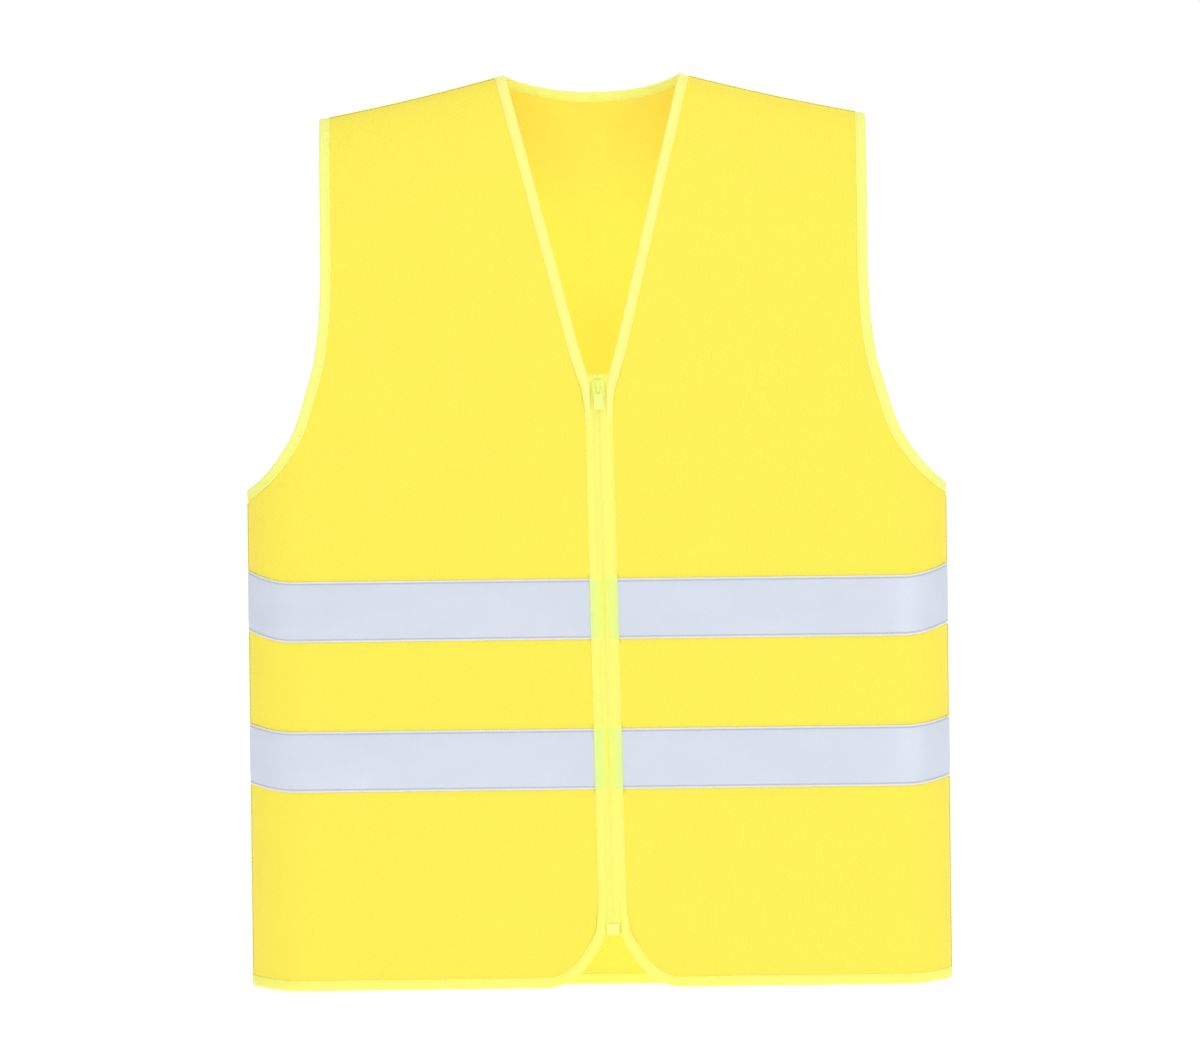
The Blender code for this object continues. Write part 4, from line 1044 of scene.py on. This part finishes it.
def hem_front(sign):
    """Path from beside the zip down round the corner and out to the side seam."""
    beside = 0.0072                         # distance of the path from the zip
    inner = sign * FOOT_X + beside
    x = np.concatenate([np.linspace(inner, 0.08, 300),
                        np.linspace(0.08, HALF_WIDTH - 1e-5, 400)[1:]])
    level = columns(around_of(x), below_of(x, hem_z(FRONT, sign * x, BINDING_INSET)))
    z = np.linspace(HEM_JOIN, float(hem_z(FRONT, sign * inner, BINDING_INSET)), 30)[:-1]
    x = sign * zip_x(z) + beside
    x = x + (inner - x[-1]) * smooth((0.060 - z) / 0.020)
    edge = resample(np.vstack([columns(x, below_of(x, z)), level]), 0.0014)
    for _ in range(14):                     # round off the corner
        mean = 0.5 * edge[1:-1] + 0.25 * (edge[:-2] + edge[2:])
        edge[1:-1] = np.where(np.abs(edge[1:-1, :1] - inner) < 0.012, mean, edge[1:-1])
    edge = resample(edge, BINDING_STEP)
    edge[-1, 0] = SIDE_AROUND
    return surface(FRONT, sign * edge[:, 0], edge[:, 1])


def hem_binding():
    """From the foot of the zip round both sides, split at the side seams."""
    x = np.linspace(HALF_WIDTH - 1e-5, 0, 500)
    edge = resample(columns(around_of(x), below_of(x, hem_z(BACK, x, BINDING_INSET))),
                    BINDING_STEP)
    edge[0, 0] = SIDE_AROUND
    back = with_mirror(surface(BACK, edge[:, 0], edge[:, 1]))
    path, first, last = join_strip(hem_front(1), back, hem_front(-1))
    x, y, z = path.T
    part_sign = np.repeat([1.0, 0.0, -1.0], [first + 1, last - first, len(path) - last - 1])
    into = columns(part_sign * 0.7 * smooth(1 - np.abs(x) / 0.08), 0.0, 1.0)
    near = (y < MID_Y) & (np.abs(x) < 0.05)         # beside the zip
    melt = smooth((z - 0.062) / 0.018) * near
    rings, uv, runs = binding_rings(path, into, seed=9, over=smooth((z - 0.026) / 0.014) * near,
                                    melt=melt, narrow=smooth((z - 0.034) / 0.046) * near)
    split_strip("hem_edge", rings, uv, runs, melt, (first, last),
                [(hem_mat, f"hem_binding_{part}") for part in ("left", "back", "right")])


arm_edge = resample(armhole_curve(BINDING_INSET), BINDING_STEP)
for side, sign in SIDES:
    armhole_binding(side, sign, arm_edge)
neck_binding()
hem_binding()

# ---------------------------------------------------------------- reflective bands
# stations across a band from its lower edge to the middle, then mirrored
ACROSS = np.concatenate([[0, 0.0004, 0.0009, 0.0014, 0.0018, BAND_STITCH, 0.0024, 0.0029, 0.0038,
                          0.0060], np.linspace(0.0095, 0.0250, 6)])
ACROSS = np.concatenate([ACROSS, BAND_W - ACROSS[-2::-1]])


def band_points(facing, low, high, band_z, across):
    """around and surface points; low and high are around at the lower and upper edge."""
    share = across / BAND_W
    around = low * (1 - share) + high * share
    z = band_z + across + side_rise(around, band_z)
    return around, surface(facing, around, below_of(x_of(around), z))


def band(name, facing, low, high, band_z, seed):
    """Build one stretch of band; returns it and its two stitch lines."""
    across = ACROSS[:, None]
    around, points = band_points(facing, low, high, band_z, across)
    edge = np.minimum(across, BAND_W - across)
    dent = -0.00011 * bell(edge - BAND_STITCH, 0.00045)
    body = 0.00022 * smooth((edge - 0.002) / 0.010)
    ripple = (0.00012 * waves(around, across * 0.5, seed=seed, lengths=(0.020, 0.050))
              * smooth((edge - 0.001) / 0.012))
    lip = (0.00006 * waves(around, across * 0.1, seed=seed + 1, lengths=(0.007, 0.016))
           * smooth(1 - edge / 0.004))
    mid, out = lay(points, BAND_OFF + dent + body + ripple + lip)
    obj = shell(name, mid, out, 0.0004, columns(around, across), silver_mat)
    runs = [lay(band_points(facing, low, high, band_z, at)[1], BAND_OFF + 0.00012)
            for at in (BAND_STITCH, BAND_W - BAND_STITCH)]
    return obj, runs


def band_stitches(where, line, out):
    stitches(where, line, out, material=1, length=0.0024, radius=0.00020)


def bands(level, band_z, seed):
    """One band round the back and over both fronts."""
    end = SIDE_AROUND - 2 * SEAM_GAP
    around = np.linspace(-end, end, 300)
    obj, runs = band(f"band_{level}_round_back", BACK, around, around, band_z, seed)
    attach(obj, "vest", "reflective", f"band_{level}_back")
    for line, out in runs:
        band_stitches("vest", line, out)
    share = np.linspace(0, 1, 150)
    for side, sign in SIDES:
        inner = [sign * float(zip_x(z)) + TAPE_IN + 0.0003 for z in (band_z, band_z + BAND_W)]
        low, high = [sign * (start + (end - start) * share) for start in inner]
        obj, runs = band(f"band_{level}_{side}", FRONT, low, high, band_z, seed + 3 + sign)
        attach(obj, side, "reflective", f"band_{level}_side_{side}", f"band_{level}_fold_{side}")
        for line, out in runs:
            band_stitches(side, line[3:], out[3:])


bands("upper", UPPER_BAND_Z, seed=61)
bands("lower", LOWER_BAND_Z, seed=71)

# ---------------------------------------------------------------- side and shoulder seams
SEAM_HALF_W, SEAM_STEP, SIDE_SEAM_OFF = 0.0017, 0.0028, 0.00055
# section of the ridge: share of the half width, height
SEAM_SECTION = np.array([(-1.0, 0.0), (-0.8, 0.00024), (-0.4, 0.00034), (0, 0.00026),
                         (0.4, 0.00034), (0.8, 0.00024), (1.0, 0.0)])


def seam(name, path, off):
    """Flat seam: a low ridge over the join with a row of thread down each side."""
    across = unit(np.cross(normals(path), np.gradient(path, axis=0)))
    share, height = SEAM_SECTION.T
    aside = (share * SEAM_HALF_W)[None]
    points = onto(path[:, None] + across[:, None] * aside[..., None])
    out = normals(points)
    off = np.zeros(len(path)) + off
    mid = points + out * (off[:, None] + height[None])[..., None]
    uv = columns(run_length(path)[:, None], aside)
    attach(shell(name, mid, out, 0.0003, uv, knit), "vest", "knit")
    for k in (1, 5):
        stitches("vest", mid[:, k], out[:, k], gap=0.0007, radius=0.0002, lift=0.0002)


for side, sign in SIDES:
    z = np.arange(0.0118, 0.4050, SEAM_STEP)
    path = surface(FRONT, sign * (SIDE_AROUND - 1e-6), below_of(HALF_WIDTH, z))
    off = SIDE_SEAM_OFF
    for band_z in (LOWER_BAND_Z, UPPER_BAND_Z):     # it sinks under the bands
        low = band_z + float(side_rise(SIDE_AROUND, band_z))
        off = off - SIDE_SEAM_OFF * over_band(z, low, reach=0.003, soft=0.004)
    seam(f"side_seam_{side}", onto(path + np.array([sign * 1e-4, 0, 0])), off)
    x = np.arange(NECK_X + 0.0085, SHOULDER_X - 0.0085, SEAM_STEP)
    seam(f"shoulder_seam_{side}", columns(sign * x, MID_Y, ridge(x)), 0.00050)

# ---------------------------------------------------------------- zip: tapes and coils
TAPE_TOP, TAPE_FOOT = 0.5070, 0.0445
TAPE_STITCH = 0.0101
MARGIN_OFF, ROLL_OFF = 0.00053, TAPE_OFF - 0.00004      # tape on the knit, tape over coil or band
COIL_TOP, COIL_FOOT = 0.4990, {"right": 0.0535, "left": 0.0605}
COIL_SIDES = 12             # points per turn
# stations of a tape out from the zip line
TAPE_ACROSS = np.array([
    0.00004, 0.0003, 0.0008, 0.0014, 0.0021, 0.0028, 0.0033, 0.0037, 0.0041, 0.0046, 0.0051,
    0.0058, 0.0068, 0.0079, 0.0090, 0.0097, TAPE_STITCH, 0.0105, 0.0110, 0.0114, TAPE_OUT])


def tape_margin(z):
    """Height of the tape's sewn-down margin: flat on the knit, and up over each band."""
    over = np.maximum(*(over_band(z, low, reach=0.0055, soft=0.0050)
                        for low in (LOWER_BAND_Z, UPPER_BAND_Z)))
    return MARGIN_OFF + (ROLL_OFF - MARGIN_OFF) * over


def make_tape(side, sign):
    out = TAPE_ACROSS[None]
    z = np.linspace(TAPE_FOOT, TAPE_TOP, 260)[:, None]
    # rolled over the coil: a groove at the zip line and a slight swell beside it
    roll = (ROLL_OFF - 0.00014 * bell(out, 0.00040)
            + 0.00006 * smooth((0.0036 - out) / 0.001) * smooth((out - 0.0006) / 0.0008))
    off = roll + (tape_margin(z) - roll) * smooth((out - 0.0034) / 0.0022)
    # dent of the stitching, outer lip, ripple of the margin
    off = off - 0.00010 * bell(out - TAPE_STITCH, 0.0004)
    off = off - 0.00012 * smooth((out - 0.0108) / 0.0008)
    off = off + (0.00005 * waves(z, 0.0, seed=90 + sign, lengths=(0.009, 0.022))
                 * smooth((out - 0.008) / 0.003))
    mid = columns(zip_line(z) + sign * out, FRONT_Y - off, z)
    obj = shell(f"tape_{side}", mid, np.array([0.0, -1.0, 0.0]), 0.00042, columns(out, z),
                tape_mat)
    attach(obj, f"{side}_front", "zip_tape", f"zip_tape_{side}")
    # thread on the tape and on the inside of the front
    z = np.linspace(TAPE_FOOT + 0.002, TAPE_TOP - 0.002, 200)
    z = z[(z > 0.072) & (z < 0.474)]
    for y, facing in ((FRONT_Y - tape_margin(z) - 0.00012, FRONT), (FRONT_Y + 0.00032, BACK)):
        stitches(side, columns(zip_x(z) + sign * TAPE_STITCH, y, z),
                 np.tile([0.0, float(facing), 0.0], (len(z), 1)), radius=0.0002)


def make_coil(side, sign):
    """Flattened helix of nylon wire behind the tape; its heads meet the other side's."""
    foot = COIL_FOOT[side]
    turns = np.arange(int((COIL_TOP - foot) / COIL_PITCH) * COIL_SIDES + 1) / COIL_SIDES
    angle = 2 * math.pi * turns
    share = 0.5 - 0.5 * np.cos(angle)       # 0 at the heads, 1 at the outer bends
    out = 0.00044 + 0.0025 * share
    off = 0.00094 + 0.00028 * np.sin(angle)
    z = foot + COIL_PITCH * turns + (COIL_PITCH / 2 if sign < 0 else 0)
    centre = columns(zip_x(z) + sign * (out + 0.00005), FRONT_Y - off, z)
    tangent = unit(np.gradient(centre, axis=0))
    across = unit(np.cross(tangent, np.array([0.0, 0.0, 1.0])))
    radius = 0.00024 + 0.00007 * (1 - share) ** 4
    rings = wire_rings(centre, radius, across, np.cross(tangent, across))
    verts = rings.reshape(-1, 3)
    faces = grid_faces(len(turns), WIRE_SIDES, loop_cols=True).tolist()
    faces += [list(range(WIRE_SIDES)), list(range(len(verts) - WIRE_SIDES, len(verts)))]
    obj = make_object(f"coil_{side}", verts, faces, None, [coil_mat])
    attach(obj, f"{side}_front", "zip_coil", f"zip_coil_{side}")


for side, sign in SIDES:
    make_tape(side, sign)
    make_coil(side, sign)
for where, runs in stitch_runs.items():
    make_threads(where, runs)

# ---------------------------------------------------------------- hard parts keep their CAD shape
# CAD node, material, width of the softened edges
HARD_PARTS = (("zip_slider", slider_paint_and_shade_mat, 0.00018), ("pull_tab", pull_mat, 0.00022),
              ("retainer_box", plastic_mat, 0.00012), ("insertion_pin", plastic_mat, 0.00012),
              ("top_stop_left", plastic_mat, 0.00012), ("top_stop_right", plastic_mat, 0.00012))
for cad_node, material, width in HARD_PARTS:
    obj = CAD_NODES[cad_node]
    obj.data.materials.clear()
    obj.data.materials.append(material)
    bevel = obj.modifiers.new("soft_edges", "BEVEL")
    bevel.width = width
    bevel.segments = 2
    bevel.limit_method = "ANGLE"
    bevel.angle_limit = math.radians(40)


# ---------------------------------------------------------------- floor, light, camera
def floor_material():
    nodes = Nodes("pale_floor")
    tone = nodes.noise(nodes.object_place(), scale=3.0, detail=3)
    colour = nodes.mix(tone, (0.93, 0.93, 0.93), (0.96, 0.96, 0.96))
    return nodes.finish(colour, roughness=0.9, Specular_IOR_Level=0.1,
                        Emission_Color=(1, 1, 1), Emission_Strength=0.42)


def make_floor():
    material = floor_material()
    bm = bmesh.new()
    bmesh.ops.create_circle(bm, cap_ends=True, radius=9.0, segments=96)
    mesh = bpy.data.meshes.new("floor")
    bm.to_mesh(mesh)
    bm.free()
    mesh.materials.append(material)
    floor = bpy.data.objects.new("floor", mesh)
    bpy.context.scene.collection.objects.link(floor)
    floor.location = (0, 0, -0.32)
    floor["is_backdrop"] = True


def make_world(light_strength, seen_strength):
    """White world, brighter where the camera sees it than as a light."""
    world = bpy.data.worlds.new("studio")
    bpy.context.scene.world = world
    world.use_nodes = True
    tree = world.node_tree
    background = tree.nodes["Background"]
    ray = tree.nodes.new("ShaderNodeLightPath")
    strength = tree.nodes.new("ShaderNodeMapRange")
    tree.links.new(ray.outputs["Is Camera Ray"], strength.inputs["Value"])
    strength.inputs[3].default_value = light_strength
    strength.inputs[4].default_value = seen_strength
    tree.links.new(strength.outputs[0], background.inputs["Strength"])
    background.inputs["Color"].default_value = (1, 1, 1, 1)


def softbox(name, place, aim, size, power):
    data = bpy.data.lights.new(name, "AREA")
    data.shape = "RECTANGLE"
    data.size, data.size_y = size
    data.energy = power
    obj = bpy.data.objects.new(name, data)
    bpy.context.scene.collection.objects.link(obj)
    obj.location = place
    obj.rotation_mode = "QUATERNION"
    obj.rotation_quaternion = (Vector(aim) - Vector(place)).to_track_quat("-Z", "Y")
    obj.visible_camera = False


def make_camera(frame_width, lens, sensor, x, z, roll):
    """Long lens straight in front; frame_width is the width it sees at the front of the vest."""
    data = bpy.data.cameras.new("camera")
    camera = bpy.data.objects.new("camera", data)
    bpy.context.scene.collection.objects.link(camera)
    bpy.context.scene.camera = camera
    data.lens = lens
    data.sensor_width = sensor
    data.clip_start, data.clip_end = 0.05, 60
    place = (x, FRONT_Y - frame_width * lens / sensor, z)
    camera.matrix_world = (Matrix.Translation(place)
                           @ Matrix.Rotation(math.radians(90), 4, "X")
                           @ Matrix.Rotation(math.radians(roll), 4, "Z"))


make_floor()
make_world(light_strength=0.655, seen_strength=1.05)
MIDDLE = (0, 0, 0.38)
softbox("key", place=(-1.9, -2.4, 2.0), aim=MIDDLE, size=(1.2, 1.2), power=12)
softbox("fill", place=(2.2, -2.6, 0.9), aim=MIDDLE, size=(1.8, 1.8), power=11)
softbox("top", place=(0.5, -0.9, 3.2), aim=(0, 0, 0.5), size=(1.6, 1.2), power=20)
softbox("rear", place=(1.2, 2.6, 1.9), aim=MIDDLE, size=(1.4, 1.4), power=24)
# a panel inside the vest lights the inside of the back, as open knit lets daylight through
softbox("inside", place=(0, FRONT_Y + 0.008, 0.345), aim=(0, FRONT_Y + 1.0, 0.345),
        size=(0.34, 0.67), power=0.385)
bpy.context.scene.view_settings.view_transform = "Standard"
make_camera(frame_width=0.99168, lens=400, sensor=36, x=0.0023, z=0.3777, roll=-0.7)

low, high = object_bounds()
